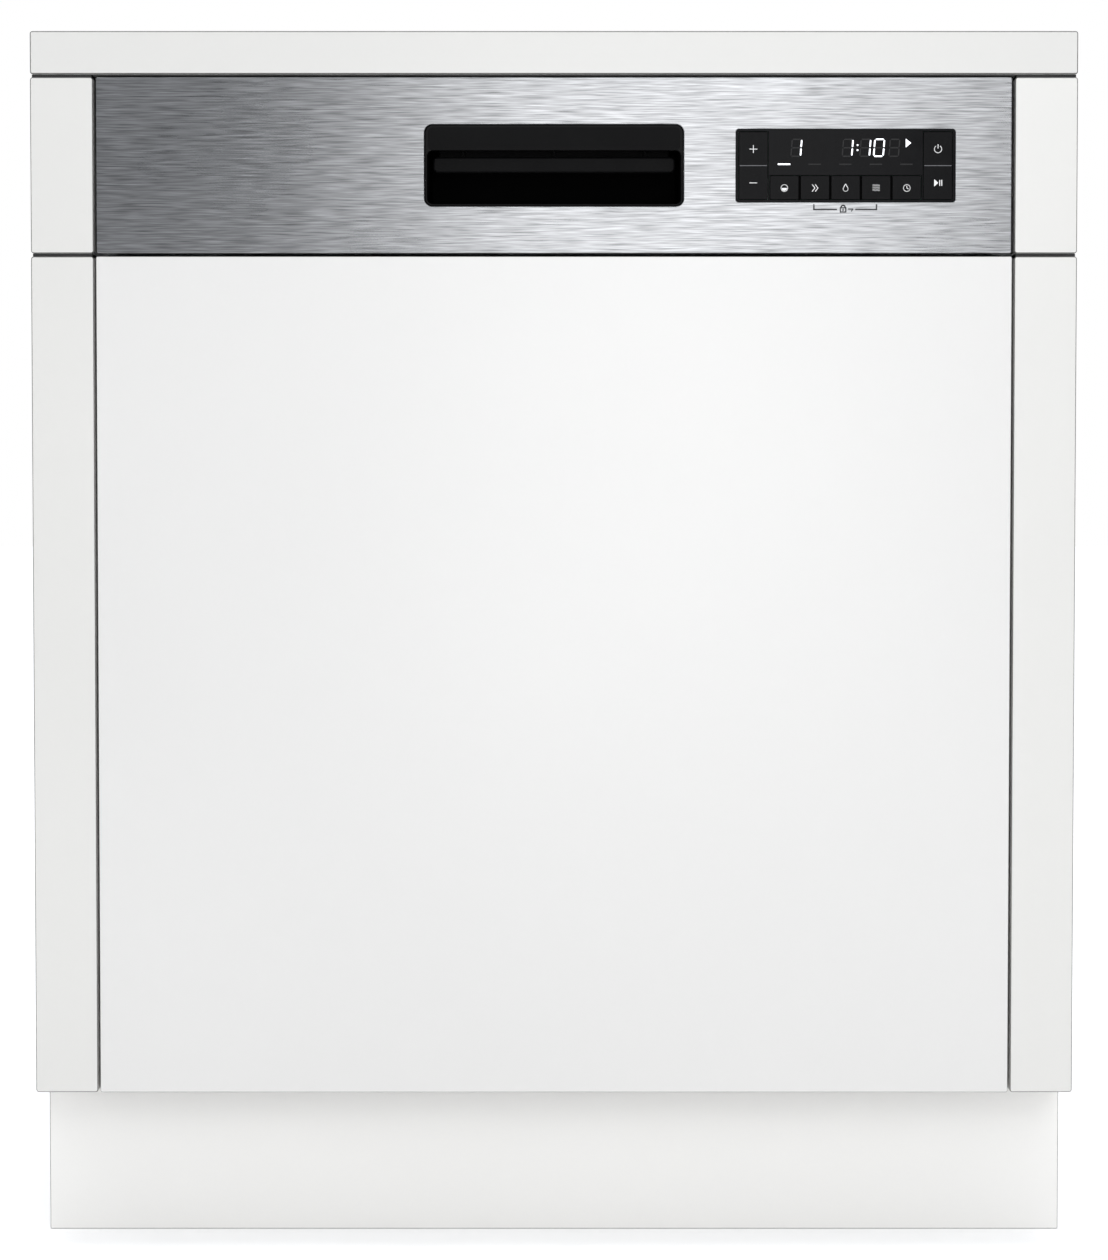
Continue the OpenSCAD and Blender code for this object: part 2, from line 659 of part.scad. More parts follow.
// Row of plate tines that folds flat
tine_axis = [400, lower_z + 7];
module fold_tines() color([0.55, 0.57, 0.6]) {
    rod_x(-200, 30, tine_axis[0], tine_axis[1], 2);
    for (x = [-190:30:20]) wire_z(tine_axis[1], tine_axis[1] + 62, x, tine_axis[0], 3);
    wire_x(-191, 21, tine_axis[0], tine_axis[1] + 30, 2.4);
}

// Cutlery basket with three cells and a carrying handle
module cutlery_basket() color([0.3, 0.31, 0.33]) {
    lo = [154, 130, lower_z + 4.2];
    hi = [236, 370, 345];
    cell = (hi[1] - lo[1] - 2) / 3;
    difference() {
        box(lo, hi);
        for (i = [0:2])
            box([lo[0] + 2, lo[1] + 2 + i * cell, lo[2] + 2], [hi[0] - 2, lo[1] + (i + 1) * cell, hi[2] + 1]);
        for (y = [lo[1] + 6:12:hi[1] - 12], z = [lo[2] + 8:24:hi[2] - 24])
            box([lo[0] - 1, y, z], [hi[0] + 1, y + 8, z + 18]);
    }
    mid = (lo[0] + hi[0]) / 2;
    for (y = [lo[1], hi[1] - 4]) box([mid - 5, y, hi[2] - 20], [mid + 5, y + 4, hi[2] + 34]);
    box([mid - 5, lo[1], hi[2] + 28], [mid + 5, hi[1], hi[2] + 34]);
}

// Fixed channels on the tub's side walls, with a bracket for the front rollers
module rack_rails() color([0.68, 0.69, 0.7]) both_sides() {
    wall_x = tub_hw - tub_t;
    difference() {
        box([268, 70, rail_z], [wall_x, 540, rail_z + 24]);
        box([267, 69, rail_z + 2], [wall_x - 2, 534, rail_z + 22]);
    }
    box([266.5, 74, rail_z - 16], [268.5, 96, rail_z + 2]);
    rod_x(259, 267, 85, rail_z - 5, 3);
}

roller_r = 8;
module front_rollers() color([0.85, 0.85, 0.83]) both_sides() difference() {
    rod_x(259.5, 265.5, 85, rail_z - 5, roller_r);
    rod_x(258, 267, 85, rail_z - 5, 3 + run_gap);
}

module rear_rollers() color([0.85, 0.85, 0.83]) both_sides() difference() {
    rod_x(269, 276, 515, rail_z + 12, 9.6);
    rod_x(268, 277, 515, rail_z + 12, 3 + run_gap);
}

module upper_rack() color([0.55, 0.57, 0.6]) {
    basket(rack_hw - 4, rack_front, rack_back, upper_z, 92, 7, 6);
    both_sides() {
        box([259, rack_front, rail_z + 3.3], [262, rack_back, rail_z + 20]);
        rod_x(261, 276, 515, rail_z + 12, 3);
        for (y = [120, 300, 480]) box([rack_hw - 4 + seam, y - 6, rail_z + 8], [260, y + 6, rail_z + 14]);
    }
    mid_y = (rack_front + rack_back) / 2;
    for (y = [mid_y, mid_y + (rack_back - rack_front - 2 * rim_wire - 2 * seam - wire) / 3])
        both_sides() box([4.5, y - 4, 473], [8, y + 4, upper_z + 3]);
}

// Cup shelf on the left wall of the upper rack, which folds up
shelf_axis = [-rack_hw + 14, upper_z + 46];
module cup_shelf() color([0.3, 0.31, 0.33]) {
    rod_y(110, 500, shelf_axis[0], shelf_axis[1], 2);
    for (y = [115:38:495]) wire_x(shelf_axis[0], shelf_axis[0] + 90, y, shelf_axis[1], 2.6);
    wire_y(110, 500, shelf_axis[0] + 90, shelf_axis[1], 3);
    wire_y(110, 500, shelf_axis[0] + 45, shelf_axis[1], 2.4);
}

// ---------- nodes ----------

place() {
    worktop();
    upper_stiles();
    lower_stiles();
    end_panels();
    plinth();
    furniture_door();
    fascia();
    control_housing();
    handle_recess();
    latch_lever();
    latch_module();
    display_panel();
    rocker(rocker_x[0]);  // rocker_left
    rocker(rocker_x[1]);  // rocker_right
    for (i = [1:5]) small_key(i);
    control_board();
    outer_door();
    inner_door();
    hinge_arms();
    dispenser();
    detergent_lid();
    rinse_aid_cap();
    hinge_brackets();
    balance_springs();
    frame_struts();
    door_strike();
    tub();
    tub_gasket();
    insulation_jacket();
    base_tray();
    levelling_feet();
    sump();
    filter_plate();
    filter_cup();
    pump_housing();
    pump_motor();
    pump_rotor();
    drain_pump();
    softener_tank();
    salt_cap();
    inlet_chamber();
    inlet_valve();
    feed_pipe();
    lower_spray_arm();
    upper_spray_arm();
    upper_feed_tube();
    rack_rails();
    front_rollers();
    rear_rollers();
    upper_rack();
    cup_shelf();
    lower_rack();
    fold_tines();
    cutlery_basket();
    wheel_pair(wheel_y[0]);  // front_wheels
    wheel_pair(wheel_y[1]);  // rear_wheels
}
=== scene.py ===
"""Looks of the built-in dishwasher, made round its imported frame.

Pieces are modelled in millimetres, in the frame's own axes: +X right, +Y towards the
wall, +Z up. They become metres when they are linked. Every place comes from the
frame's boxes and a few sizes named below.
"""

import math

import bmesh
import bpy
from mathutils import Matrix, Vector, noise


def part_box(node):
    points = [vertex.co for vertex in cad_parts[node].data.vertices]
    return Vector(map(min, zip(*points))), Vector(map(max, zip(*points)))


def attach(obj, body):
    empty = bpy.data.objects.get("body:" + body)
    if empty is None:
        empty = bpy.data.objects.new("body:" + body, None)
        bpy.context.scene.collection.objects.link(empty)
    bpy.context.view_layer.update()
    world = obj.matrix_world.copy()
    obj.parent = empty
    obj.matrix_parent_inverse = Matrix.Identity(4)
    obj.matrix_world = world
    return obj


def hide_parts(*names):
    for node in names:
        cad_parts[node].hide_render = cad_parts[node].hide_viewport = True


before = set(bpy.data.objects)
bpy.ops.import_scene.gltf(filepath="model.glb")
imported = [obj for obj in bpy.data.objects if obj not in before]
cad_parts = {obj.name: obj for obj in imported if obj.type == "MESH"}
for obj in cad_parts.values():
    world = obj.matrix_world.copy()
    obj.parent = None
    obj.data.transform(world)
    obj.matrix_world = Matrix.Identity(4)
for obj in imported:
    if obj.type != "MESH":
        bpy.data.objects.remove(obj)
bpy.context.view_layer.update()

MM = 0.001
BOX = {node: [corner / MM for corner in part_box(node)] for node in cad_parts}
FRONT = BOX["worktop"][0].y
X, Y, Z = Vector((1, 0, 0)), Vector((0, 1, 0)), Vector((0, 0, 1))
SIDEWAYS = Matrix.Rotation(math.pi / 2, 4, "Z")   # turns a plate to face along X
LEVEL = Matrix.Rotation(-math.pi / 2, 4, "X")     # lays a plate down, its depth upwards

MARK = 0.05                # how far printed marks stand out
NICHE = 602                # width between the stiles
BOARD = 18                 # thickness of the side panels
TOE_BOARD = 16
CLIP_X = 165               # of the clips behind the toe board, left and right
GRIP = Vector((-84.7, FRONT, 686.0)), Vector((84.7, FRONT, 739.4))
GRIP_R = 5.3
LIP_LOW = 722.5            # lower edge of the lip over the grip's mouth
BAR_HALF = 79.5            # half the length of the lever's bar
BAR_Z = 709.3, 719.5
RIB_TOP = 738              # of the ribs on the grip's lever
VALVE_Z = 75               # axis of the inlet valve
PAN_Z = 195, 653.8         # the pressed panel in the inner door
PAN_DEPTH = 14
SUMP_AT = 50, FRONT + 310
SALT_AT = 218, FRONT + 200
ROCKERS = ["rocker_left", "rocker_right"]
KEYS = [f"key_{i}" for i in range(1, 6)]


# ---- shader tools

def material(name, colour, roughness, metallic=0.0, **sockets):
    """A Principled material with its constant values on its own sockets."""
    made = bpy.data.materials.new(name)
    made.use_nodes = True
    made.diffuse_color = (*colour, 1)
    values = {"Base Color": (*colour, 1), "Roughness": roughness, "Metallic": metallic, **sockets}
    for socket, value in values.items():
        shader_of(made).inputs[socket.replace("_", " ")].default_value = value
    return made


def shader_of(mat):
    return mat.node_tree.nodes["Principled BSDF"]


def add_node(mat, kind, **inputs):
    """Adds a shader node. An input holds a constant, or takes the output given."""
    made = mat.node_tree.nodes.new("ShaderNode" + kind)
    for socket, value in inputs.items():
        entry = made.inputs[socket.replace("_", " ")]
        if isinstance(value, bpy.types.NodeSocket):
            mat.node_tree.links.new(value, entry)
        else:
            entry.default_value = value
    return made


def drive(mat, output, socket):
    """Lets an output feed one of the shader's own sockets."""
    mat.node_tree.links.new(output, shader_of(mat).inputs[socket])


def texture(mat, kind, scale, stretch=(1, 1, 1), **inputs):
    """A varying value from a texture on object coordinates."""
    place = add_node(mat, "Mapping", Vector=add_node(mat, "TexCoord").outputs["Object"], Scale=stretch)
    made = add_node(mat, "Tex" + kind, Vector=place.outputs["Vector"], Scale=scale, **inputs)
    return made.outputs["Distance" if kind == "Voronoi" else "Fac"]


def mixed(mat, a, b, share=0.5):
    """Weighted sum of two varying values."""
    return add_node(mat, "Mix", Factor=share, A=a, B=b).outputs["Result"]


def mapped(mat, value, low, high, first, last):
    """The value's run from low to high, turned into a run from first to last."""
    made = add_node(mat, "MapRange", Value=value, From_Min=low, From_Max=high, To_Min=first, To_Max=last)
    return made.outputs["Result"]


def colour_by(mat, value, dark, light, low=0.3, high=0.7):
    """Base colour runs from dark to light as the value goes from low to high."""
    ramp = add_node(mat, "ValToRGB", Fac=value)
    for stop, at, colour in zip(ramp.color_ramp.elements, (low, high), (dark, light)):
        stop.position = at
        stop.color = (*colour, 1)
    drive(mat, ramp.outputs["Color"], "Base Color")


def roughness_by(mat, value, low, high):
    drive(mat, mapped(mat, value, 0.3, 0.7, low, high), "Roughness")


def bump_by(mat, value, depth):
    bump = add_node(mat, "Bump", Height=value, Distance=depth * MM, Strength=1.0)
    drive(mat, bump.outputs["Normal"], "Normal")


def tint(mat, share, colour):
    """Blends the base colour towards another by a varying share."""
    mix = add_node(mat, "Mix")
    mix.data_type = "RGBA"
    base = shader_of(mat).inputs["Base Color"].links[0].from_socket
    mat.node_tree.links.new(share, mix.inputs[0])
    mat.node_tree.links.new(base, mix.inputs[6])
    mix.inputs[7].default_value = (*colour, 1)
    drive(mat, mix.outputs[2], "Base Color")


def worn(mat, colour, amount):
    """Paler along convex edges, where hands and parts rub."""
    pointed = add_node(mat, "NewGeometry").outputs["Pointiness"]
    tint(mat, mapped(mat, pointed, 0.52, 0.6, 0, amount), colour)


def painted_edge_shade(mat, colour, amount):
    """Painted shade: a darker line where a face turns the corner, which also darkens the gaps between
    boards.
    """
    size = add_node(mat, "VectorMath")
    size.operation = "ABSOLUTE"
    mat.node_tree.links.new(add_node(mat, "TexCoord").outputs["Normal"], size.inputs[0])
    parts = add_node(mat, "SeparateXYZ", Vector=size.outputs["Vector"])
    most = parts.outputs["X"]
    for axis in "YZ":
        larger = add_node(mat, "Math")
        larger.operation = "MAXIMUM"
        mat.node_tree.links.new(most, larger.inputs[0])
        mat.node_tree.links.new(parts.outputs[axis], larger.inputs[1])
        most = larger.outputs["Value"]
    tint(mat, mapped(mat, most, 0.985, 0.85, 0, amount), colour)


def shade(colour, by):
    return tuple(max(0.0, min(1.0, c * by)) for c in colour)


# ---- materials

def moulded(name, colour, roughness, **sockets):
    """Moulded plastic: fine grain, faint flow patches and slightly rubbed edges."""
    made = material(name, colour, roughness, **sockets)
    fine = texture(made, "Noise", 900, Detail=3)
    patch = texture(made, "Noise", 14, Detail=4, Roughness=0.6)
    colour_by(made, mixed(made, fine, patch), shade(colour, 0.94), shade(colour, 1.06))
    roughness_by(made, patch, roughness - 0.06, roughness + 0.08)
    bump_by(made, fine, 0.03)
    worn(made, shade(colour, 1.35), 0.35)
    return made


def lacquer(name, colour, roughness=0.34, edge=0.12):
    """Satin white paint on board: orange peel, faint clouding, and painted shade along the rounded edges."""
    made = material(name, colour, roughness, Coat_Weight=0.25, Coat_Roughness=0.22)
    peel = texture(made, "Noise", 420, Detail=2)
    cloud = texture(made, "Noise", 3.2, Detail=5, Roughness=0.55)
    colour_by(made, mixed(made, peel, cloud, 0.8), shade(colour, 0.985), shade(colour, 1.012))
    roughness_by(made, cloud, roughness - 0.05, roughness + 0.06)
    bump_by(made, peel, 0.02)
    # painted shade: rounded edges and the gaps between boards darkened towards edge times the colour
    painted_edge_shade(made, shade(colour, edge), 0.95)
    return made


def brushed(name, colour, roughness, along=(38, 950, 950), anisotropy=0.0):
    """Steel with brushing lines that run where the stretch is smallest."""
    made = material(name, colour, roughness, 1.0, Anisotropic=anisotropy, Anisotropic_Rotation=0.25)
    tangent = add_node(made, "Tangent")
    tangent.direction_type = "RADIAL"
    tangent.axis = "Z"
    drive(made, tangent.outputs["Tangent"], "Tangent")
    lines = texture(made, "Noise", 1, along, Detail=0, Distortion=0.35)
    hairs = texture(made, "Noise", 1, tuple(1.6 * s for s in along), Detail=1, Roughness=0.5, Distortion=0.2)
    cloud = texture(made, "Noise", 9, Detail=3)
    both = mixed(made, lines, hairs, 0.5)
    colour_by(made, both, shade(colour, 0.5), shade(colour, 1.5), 0.25, 0.75)
    roughness_by(made, mixed(made, both, cloud, 0.8), roughness - 0.03, roughness + 0.04)
    bump_by(made, both, 0.013)
    return made


def galvanised(name, colour):
    """Zinc-coated sheet: a spangle of pale and dull flakes."""
    made = material(name, colour, 0.42, 0.9)
    spangle = texture(made, "Voronoi", 130, Randomness=1.0)
    cloud = texture(made, "Noise", 30, Detail=4)
    colour_by(made, mixed(made, spangle, cloud, 0.45), shade(colour, 0.8), shade(colour, 1.12), 0.2, 0.7)
    roughness_by(made, spangle, 0.32, 0.55)
    bump_by(made, cloud, 0.05)
    return made


def steel_inside(name, colour):
    """Bright rolled stainless: soft smears, faint water marks and fine rolling lines."""
    made = material(name, colour, 0.26, 1.0)
    smear = texture(made, "Noise", 5, Detail=5, Roughness=0.6, Distortion=0.8)
    rolling = texture(made, "Noise", 1, (18, 18, 700), Detail=3)
    colour_by(made, mixed(made, smear, rolling, 0.35), shade(colour, 0.92), shade(colour, 1.06))
    roughness_by(made, mixed(made, smear, rolling, 0.4), 0.2, 0.34)
    bump_by(made, rolling, 0.008)
    return made


def wire_coat(name, colour):
    """Thick nylon dip on wire: glossy, slightly uneven, darker in the welds."""
    made = material(name, colour, 0.3, Coat_Weight=0.3, Coat_Roughness=0.15)
    dip = texture(made, "Noise", 120, Detail=3)
    patch = texture(made, "Noise", 18, Detail=3)
    colour_by(made, mixed(made, dip, patch), shade(colour, 0.86), shade(colour, 1.1))
    roughness_by(made, dip, 0.22, 0.42)
    bump_by(made, dip, 0.12)
    return made


def felt(name, colour):
    """Needled recycled felt: flecks of many greys, no gloss, fibres across the surface."""
    made = material(name, colour, 0.95, Sheen_Weight=0.4, Sheen_Roughness=0.6)
    fibre = texture(made, "Noise", 260, Detail=8, Roughness=0.8, Distortion=2.5)
    fleck = texture(made, "Voronoi", 210, Randomness=1.0)
    colour_by(made, mixed(made, fibre, fleck, 0.45), shade(colour, 0.45), shade(colour, 1.7), 0.25, 0.72)
    roughness_by(made, fibre, 0.85, 1.0)
    bump_by(made, fibre, 0.9)
    return made


def rubber(name, colour):
    """Matt rubber with a pale bloom in patches."""
    made = material(name, colour, 0.62)
    skin = texture(made, "Noise", 700, Detail=2)
    bloom = texture(made, "Noise", 22, Detail=4)
    colour_by(made, mixed(made, skin, bloom, 0.6), shade(colour, 0.8), shade(colour, 1.35))
    roughness_by(made, bloom, 0.5, 0.75)
    bump_by(made, skin, 0.04)
    return made


def circuit(name):
    """Solder mask with darker traces under it."""
    made = material(name, (0.02, 0.16, 0.07), 0.35, Coat_Weight=0.6, Coat_Roughness=0.1)
    traces = texture(made, "Voronoi", 240, Randomness=0.4)
    colour_by(made, traces, (0.015, 0.09, 0.04), (0.03, 0.22, 0.1), 0.1, 0.35)
    roughness_by(made, traces, 0.28, 0.42)
    bump_by(made, traces, 0.05)
    return made


def glass_black(name, colour, roughness=0.12):
    """Polished black plastic with faint dust and haze."""
    made = material(name, colour, roughness, Specular_IOR_Level=0.02)
    haze = texture(made, "Noise", 60, Detail=4)
    dust = texture(made, "Noise", 1500, Detail=1)
    colour_by(made, mixed(made, haze, dust, 0.4), shade(colour, 0.85), shade(colour, 1.25))
    roughness_by(made, haze, roughness - 0.03, roughness + 0.08)
    bump_by(made, dust, 0.002)
    return made


def print_ink(name, colour, glow=0.0, gloss=0.5):
    """Printed marks, or lit segments when they glow; a faint glow on printed marks is painted light."""
    made = material(name, colour, 0.5, Specular_IOR_Level=gloss,
                    Emission_Strength=glow, Emission_Color=(*colour, 1))
    speck = texture(made, "Noise", 2500, Detail=2)
    colour_by(made, speck, shade(colour, 0.9), shade(colour, 1.05))
    bump_by(made, speck, 0.005)
    return made


M = {
    "front": lacquer("white_front", (0.667, 0.66, 0.645)),
    "board": lacquer("white_board", (0.657, 0.65, 0.627), edge=0.05),
    "top": lacquer("worktop_laminate", (0.642, 0.636, 0.615), 0.6, 0.04),
    # painted light: a paler white than the other boards, to lift the plinth out of the shade under the door
    "plinth": lacquer("plinth_board", (0.825, 0.815, 0.79), 0.4),
    "fascia": brushed("brushed_fascia", (0.198, 0.201, 0.206), 0.28, anisotropy=0.6),
    "black": moulded("black_plastic", (0.0038, 0.0038, 0.004), 0.4, Specular_IOR_Level=0.04),
    "bezel": moulded("grip_bezel", (0.0012, 0.0012, 0.0013), 0.35, Specular_IOR_Level=0.08),
    # painted shade: a blacker, duller copy of the black plastic, for the grip's recess and the ribs between
    # the keys
    "recess_shade": moulded("grip_inside_painted_shade", (0.0008, 0.0008, 0.0008), 0.7, Specular_IOR_Level=0.02),
    "dark": moulded("dark_plastic", (0.03, 0.031, 0.034), 0.5),
    "cap": glass_black("key_black", (0.0078, 0.0078, 0.0082), 0.2),
    "window": glass_black("window_black", (0.008, 0.008, 0.0085), 0.1),
    # painted light: the printed marks on the keys glow faintly
    "ink": print_ink("key_ink", (0.8, 0.8, 0.8), 0.12),
    "dim": print_ink("dim_segments", (0.009, 0.009, 0.0094), gloss=0.25),
    "rule": print_ink("rule_ink", (0.12, 0.12, 0.13)),
    "grey_ink": print_ink("grey_ink", (0.012, 0.012, 0.014)),
    "lit": print_ink("lit_segments", (0.93, 0.95, 1.0), 0.9),
    "circuit": circuit("circuit_board"),
    "zinc": galvanised("galvanised_steel", (0.6, 0.61, 0.63)),
    "steel": steel_inside("stainless_inside", (0.7, 0.71, 0.72)),
    "dispenser": moulded("dispenser_grey", (0.56, 0.58, 0.6), 0.38),
    "blue": moulded("cap_blue", (0.03, 0.1, 0.33), 0.35),
    "spring": brushed("spring_steel", (0.4, 0.4, 0.42), 0.3, (40, 900, 40)),
    "seal": rubber("door_seal", (0.03, 0.03, 0.032)),
    # painted shadow: near-black for the strips that darken the gaps between the boards
    "tape": rubber("gap_shadow_black", (0.008, 0.008, 0.008)),
    "felt": felt("felt", (0.06, 0.06, 0.062)),
    "grey": moulded("grey_plastic", (0.09, 0.1, 0.115), 0.42),
    "pale": moulded("pale_plastic", (0.68, 0.69, 0.67), 0.4),
    "rotor": brushed("rotor_steel", (0.45, 0.46, 0.48), 0.28, (900, 30, 30)),
    "wire": wire_coat("coated_wire", (0.29, 0.32, 0.36)),
    "strap": moulded("strap_plastic", (0.5, 0.5, 0.48), 0.45),
}

# slot names of the record for materials whose own names differ; link() works out a slot from these but does
# nothing with it
SLOT = {"bezel": "black_plastic", "recess_shade": "black_plastic", "tape": "black_plastic", "dark": "black_plastic",
        "window": "gloss_black", "cap": "gloss_black", "strap": "felt",
        **dict.fromkeys(("ink", "dim", "rule", "grey_ink", "lit"))}


# ---- outlines and paths

def steps(first, last, count):
    return [first + (last - first) * i / (count - 1) for i in range(count)]


def arc(cx, cz, r, start, end, n=14):
    angles = [math.radians(start + (end - start) * i / n) for i in range(n + 1)]
    return [(cx + r * math.cos(a), cz + r * math.sin(a)) for a in angles]


def circle(cx, cz, r, n=48):
    return arc(cx, cz, r, 0, 360, n)[:-1]


def outline(low, high, r, n=6):
    """Rectangle with round corners as flat points, anticlockwise."""
    (x0, z0), (x1, z1) = low, high
    corners = (x1 - r, z1 - r), (x0 + r, z1 - r), (x0 + r, z0 + r), (x1 - r, z0 + r)
    return [p for i, (cx, cz) in enumerate(corners) for p in arc(cx, cz, r, 90 * i, 90 * i + 90, n)]


def around(box, by, r, n=6):
    """Outline of a box seen from the front, grown by a margin."""
    low, high = box
    return outline((low.x - by, low.z - by), (high.x + by, high.z + by), r, n)


def loop(box, by, r, y, n=6):
    """The same outline as a loop of points in the plane at depth y."""
    return [Vector((x, y, z)) for x, z in around(box, by, r, n)]


def rim(x0, y0, x1, y1, z, r):
    """Closed level loop with round corners."""
    return [(x, y, z) for x, y in outline((x0, y0), (x1, y1), r, 5)]


def bent(points, r, n=5):
    """Path through the points with each corner rounded."""
    points = [Vector(p) for p in points]
    made = [points[0]]
    for a, b, c in zip(points, points[1:], points[2:]):
        start, end = b + (a - b).normalized() * r, b + (c - b).normalized() * r
        for t in steps(0, 1, n + 1):
            made.append(start * (1 - t) ** 2 + b * 2 * t * (1 - t) + end * t * t)
    return made + [points[-1]]


def middle(node):
    low, high = BOX[node]
    return (low + high) / 2


def across(axis):
    """Two unit vectors square to an axis."""
    first = axis.cross(Z if abs(axis.z) < 0.9 else X).normalized()
    return first, axis.cross(first)


# ---- mesh tools

def curve_of(paths, dimensions, radius, resolution, closed):
    """A bevelled curve through each list of points."""
    curve = bpy.data.curves.new("path", "CURVE")
    curve.dimensions = dimensions
    curve.bevel_depth = radius
    curve.bevel_resolution = resolution
    for points in paths:
        spline = curve.splines.new("POLY")
        spline.points.add(len(points) - 1)
        for point, (x, y, z) in zip(spline.points, points):
            point.co = (x, y, z, 1)
        spline.use_cyclic_u = closed
    return curve


def mesh_from(curve):
    """The bare mesh of a curve."""
    holder = bpy.data.objects.new("holder", curve)
    bpy.context.scene.collection.objects.link(holder)
    made = bpy.data.meshes.new_from_object(holder.evaluated_get(bpy.context.evaluated_depsgraph_get()))
    bpy.data.objects.remove(holder)
    bpy.data.curves.remove(curve)
    return made


class Part:
    """A mesh in the making. Each call adds to it, and link() puts it on its body."""

    def __init__(self):
        self.bm = bmesh.new()

    def join(self, mesh, turn=None):
        """Adds a finished mesh, turned first when a matrix is given."""
        if turn is not None:
            mesh.transform(turn)
        self.bm.from_mesh(mesh)
        bpy.data.meshes.remove(mesh)
        return self

    def join_curve(self, curve, turn=None):
        """Adds a curve's mesh, with its doubled points joined."""
        other = Part().join(mesh_from(curve)).weld()
        return self.join(other.mesh(), turn)

    def weld(self):
        bmesh.ops.remove_doubles(self.bm, verts=self.bm.verts, dist=0.001)
        return self

    def mesh(self):
        """The finished mesh, its faces turned outwards."""
        bmesh.ops.recalc_face_normals(self.bm, faces=self.bm.faces)
        made = bpy.data.meshes.new("piece")
        self.bm.to_mesh(made)
        self.bm.free()
        return made

    def block(self, low, high, r=0.6, segments=2, turn=None):
        """Adds a box between two corners, with rounded edges."""
        box = Part()
        for v in bmesh.ops.create_cube(box.bm, size=1)["verts"]:
            v.co = [low[i] + (v.co[i] + 0.5) * (high[i] - low[i]) for i in range(3)]
        bmesh.ops.bevel(box.bm, geom=box.bm.edges[:], offset=r, segments=segments, affect="EDGES",
                        profile=0.5)
        return self.join(box.mesh(), turn)

    def pair(self, low, high, r=0.6, segments=2):
        """Adds a box on the right and its mirror image on the left."""
        self.block(low, high, r, segments)
        return self.block((-high[0], *low[1:]), (-low[0], *high[1:]), r, segments)

    def turned(self, profile, origin, axis, n=48, closed=False):
        """Adds a body of revolution. The profile holds (radius, distance along the axis)."""
        u, v = across(axis)
        rings = []
        for r, t in profile:
            centre = Vector(origin) + axis * t
            spots = circle(0, 0, r, n) if r else [(0, 0)]
            rings.append([self.bm.verts.new(centre + u * a + v * b) for a, b in spots])
        for a, b in zip(rings, rings[1:] + rings[:1] if closed else rings[1:]):
            for i in range(n):
                j = i + 1
                face = list(dict.fromkeys((a[i % len(a)], a[j % len(a)], b[j % len(b)], b[i % len(b)])))
                if len(face) > 2:
                    self.bm.faces.new(face)
        return self

    def turned_pair(self, profile, x, y, z, n, closed=False):
        """Adds the same body of revolution at +x and -x, looking outwards."""
        for side in (-1, 1):
            self.turned(profile, (side * x, y, z), X * side, n, closed)
        return self

    def loft(self, loops, cap_first=True, cap_last=True):
        """Adds a skin over loops that hold the same number of points."""
        rows = [[self.bm.verts.new(p) for p in points] for points in loops]
        for a, b in zip(rows, rows[1:]):
            for i in range(len(a)):
                j = (i + 1) % len(a)
                self.bm.faces.new((a[i], a[j], b[j], b[i]))
        if cap_first:
            self.bm.faces.new(rows[0][::-1])
        if cap_last:
            self.bm.faces.new(rows[-1])
        return self

    def plate(self, outlines, y0, y1, edge=0.5, resolution=2, turn=Matrix()):
        """Adds a flat plate between two depths, with holes and rounded edges."""
        paths = [[(x, z, 0) for x, z in points] for points in outlines]
        curve = curve_of(paths, "2D", edge, resolution, True)
        curve.fill_mode = "BOTH"
        curve.extrude = (y1 - y0) / 2 - edge
        curve.offset = -edge
        upright = Matrix.Translation((0, (y0 + y1) / 2, 0)) @ Matrix.Rotation(math.pi / 2, 4, "X")
        return self.join_curve(curve, turn @ upright)

    def wires(self, paths, radius, resolution=2, closed=False):
        """Adds round wires along lists of points."""
        curve = curve_of(paths, "3D", radius, resolution, closed)
        curve.use_fill_caps = True
        return self.join_curve(curve)

    def flat(self, corners):
        """Adds a thin printed shape that stands out towards the front."""
        return self.loft([[p + Y * 0.02 for p in corners], [p - Y * MARK for p in corners]])

    def stroke(self, points, width, y):
        """Adds a flat printed line through points given as (x, z)."""
        for (ax, az), (bx, bz) in zip(points, points[1:]):
            along = Vector((bx - ax, 0, bz - az)).normalized()
            side = Vector((-along.z, 0, along.x)) * width / 2
            start = Vector((ax, y, az)) - along * width * 0.3
            end = Vector((bx, y, bz)) + along * width * 0.3
            self.flat([start + side, start - side, end - side, end + side])
        return self

    def link(self, name, key, body, *nodes, slot=None, smooth=35):
        """Makes a piece of one material that rides on a body and may replace CAD nodes."""
        mesh = self.mesh()
        mesh.transform(Matrix.Scale(MM, 4))
        mesh.materials.append(M[key])
        made = bpy.data.objects.new(name, mesh)
        bpy.context.scene.collection.objects.link(made)
        if smooth:
            mesh.shade_smooth()
            mesh.set_sharp_from_angle(angle=math.radians(smooth))
            level = made.modifiers.new("level_normals", "WEIGHTED_NORMAL")
            level.weight = 100
            level.keep_sharp = True
        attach(made, body)
        if nodes:
            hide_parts(*nodes)
        slot = slot or SLOT.get(key, M[key].name.partition(".")[0])
        return made


def thicken(piece, name, thickness, offset=-1):
    """Gives an open shell its wall."""
    wall = piece.modifiers.new(name, "SOLIDIFY")
    wall.thickness = thickness * MM
    wall.offset = offset


def dress(node, key, bevel=0):
    """Gives a CAD node its material and softened edges."""
    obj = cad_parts[node]
    obj.data.materials.clear()
    obj.data.materials.append(M[key])
    if not bevel:
        obj.data.shade_smooth()
        return
    obj.data.shade_flat()
    joined = obj.modifiers.new("joined_corners", "WELD")
    joined.merge_threshold = 0.01 * MM
    soft = obj.modifiers.new("soft_edges", "BEVEL")
    soft.width = bevel * MM
    soft.segments = 2
    soft.limit_method = "ANGLE"
    soft.angle_limit = math.radians(40)


# ---- kitchen housing

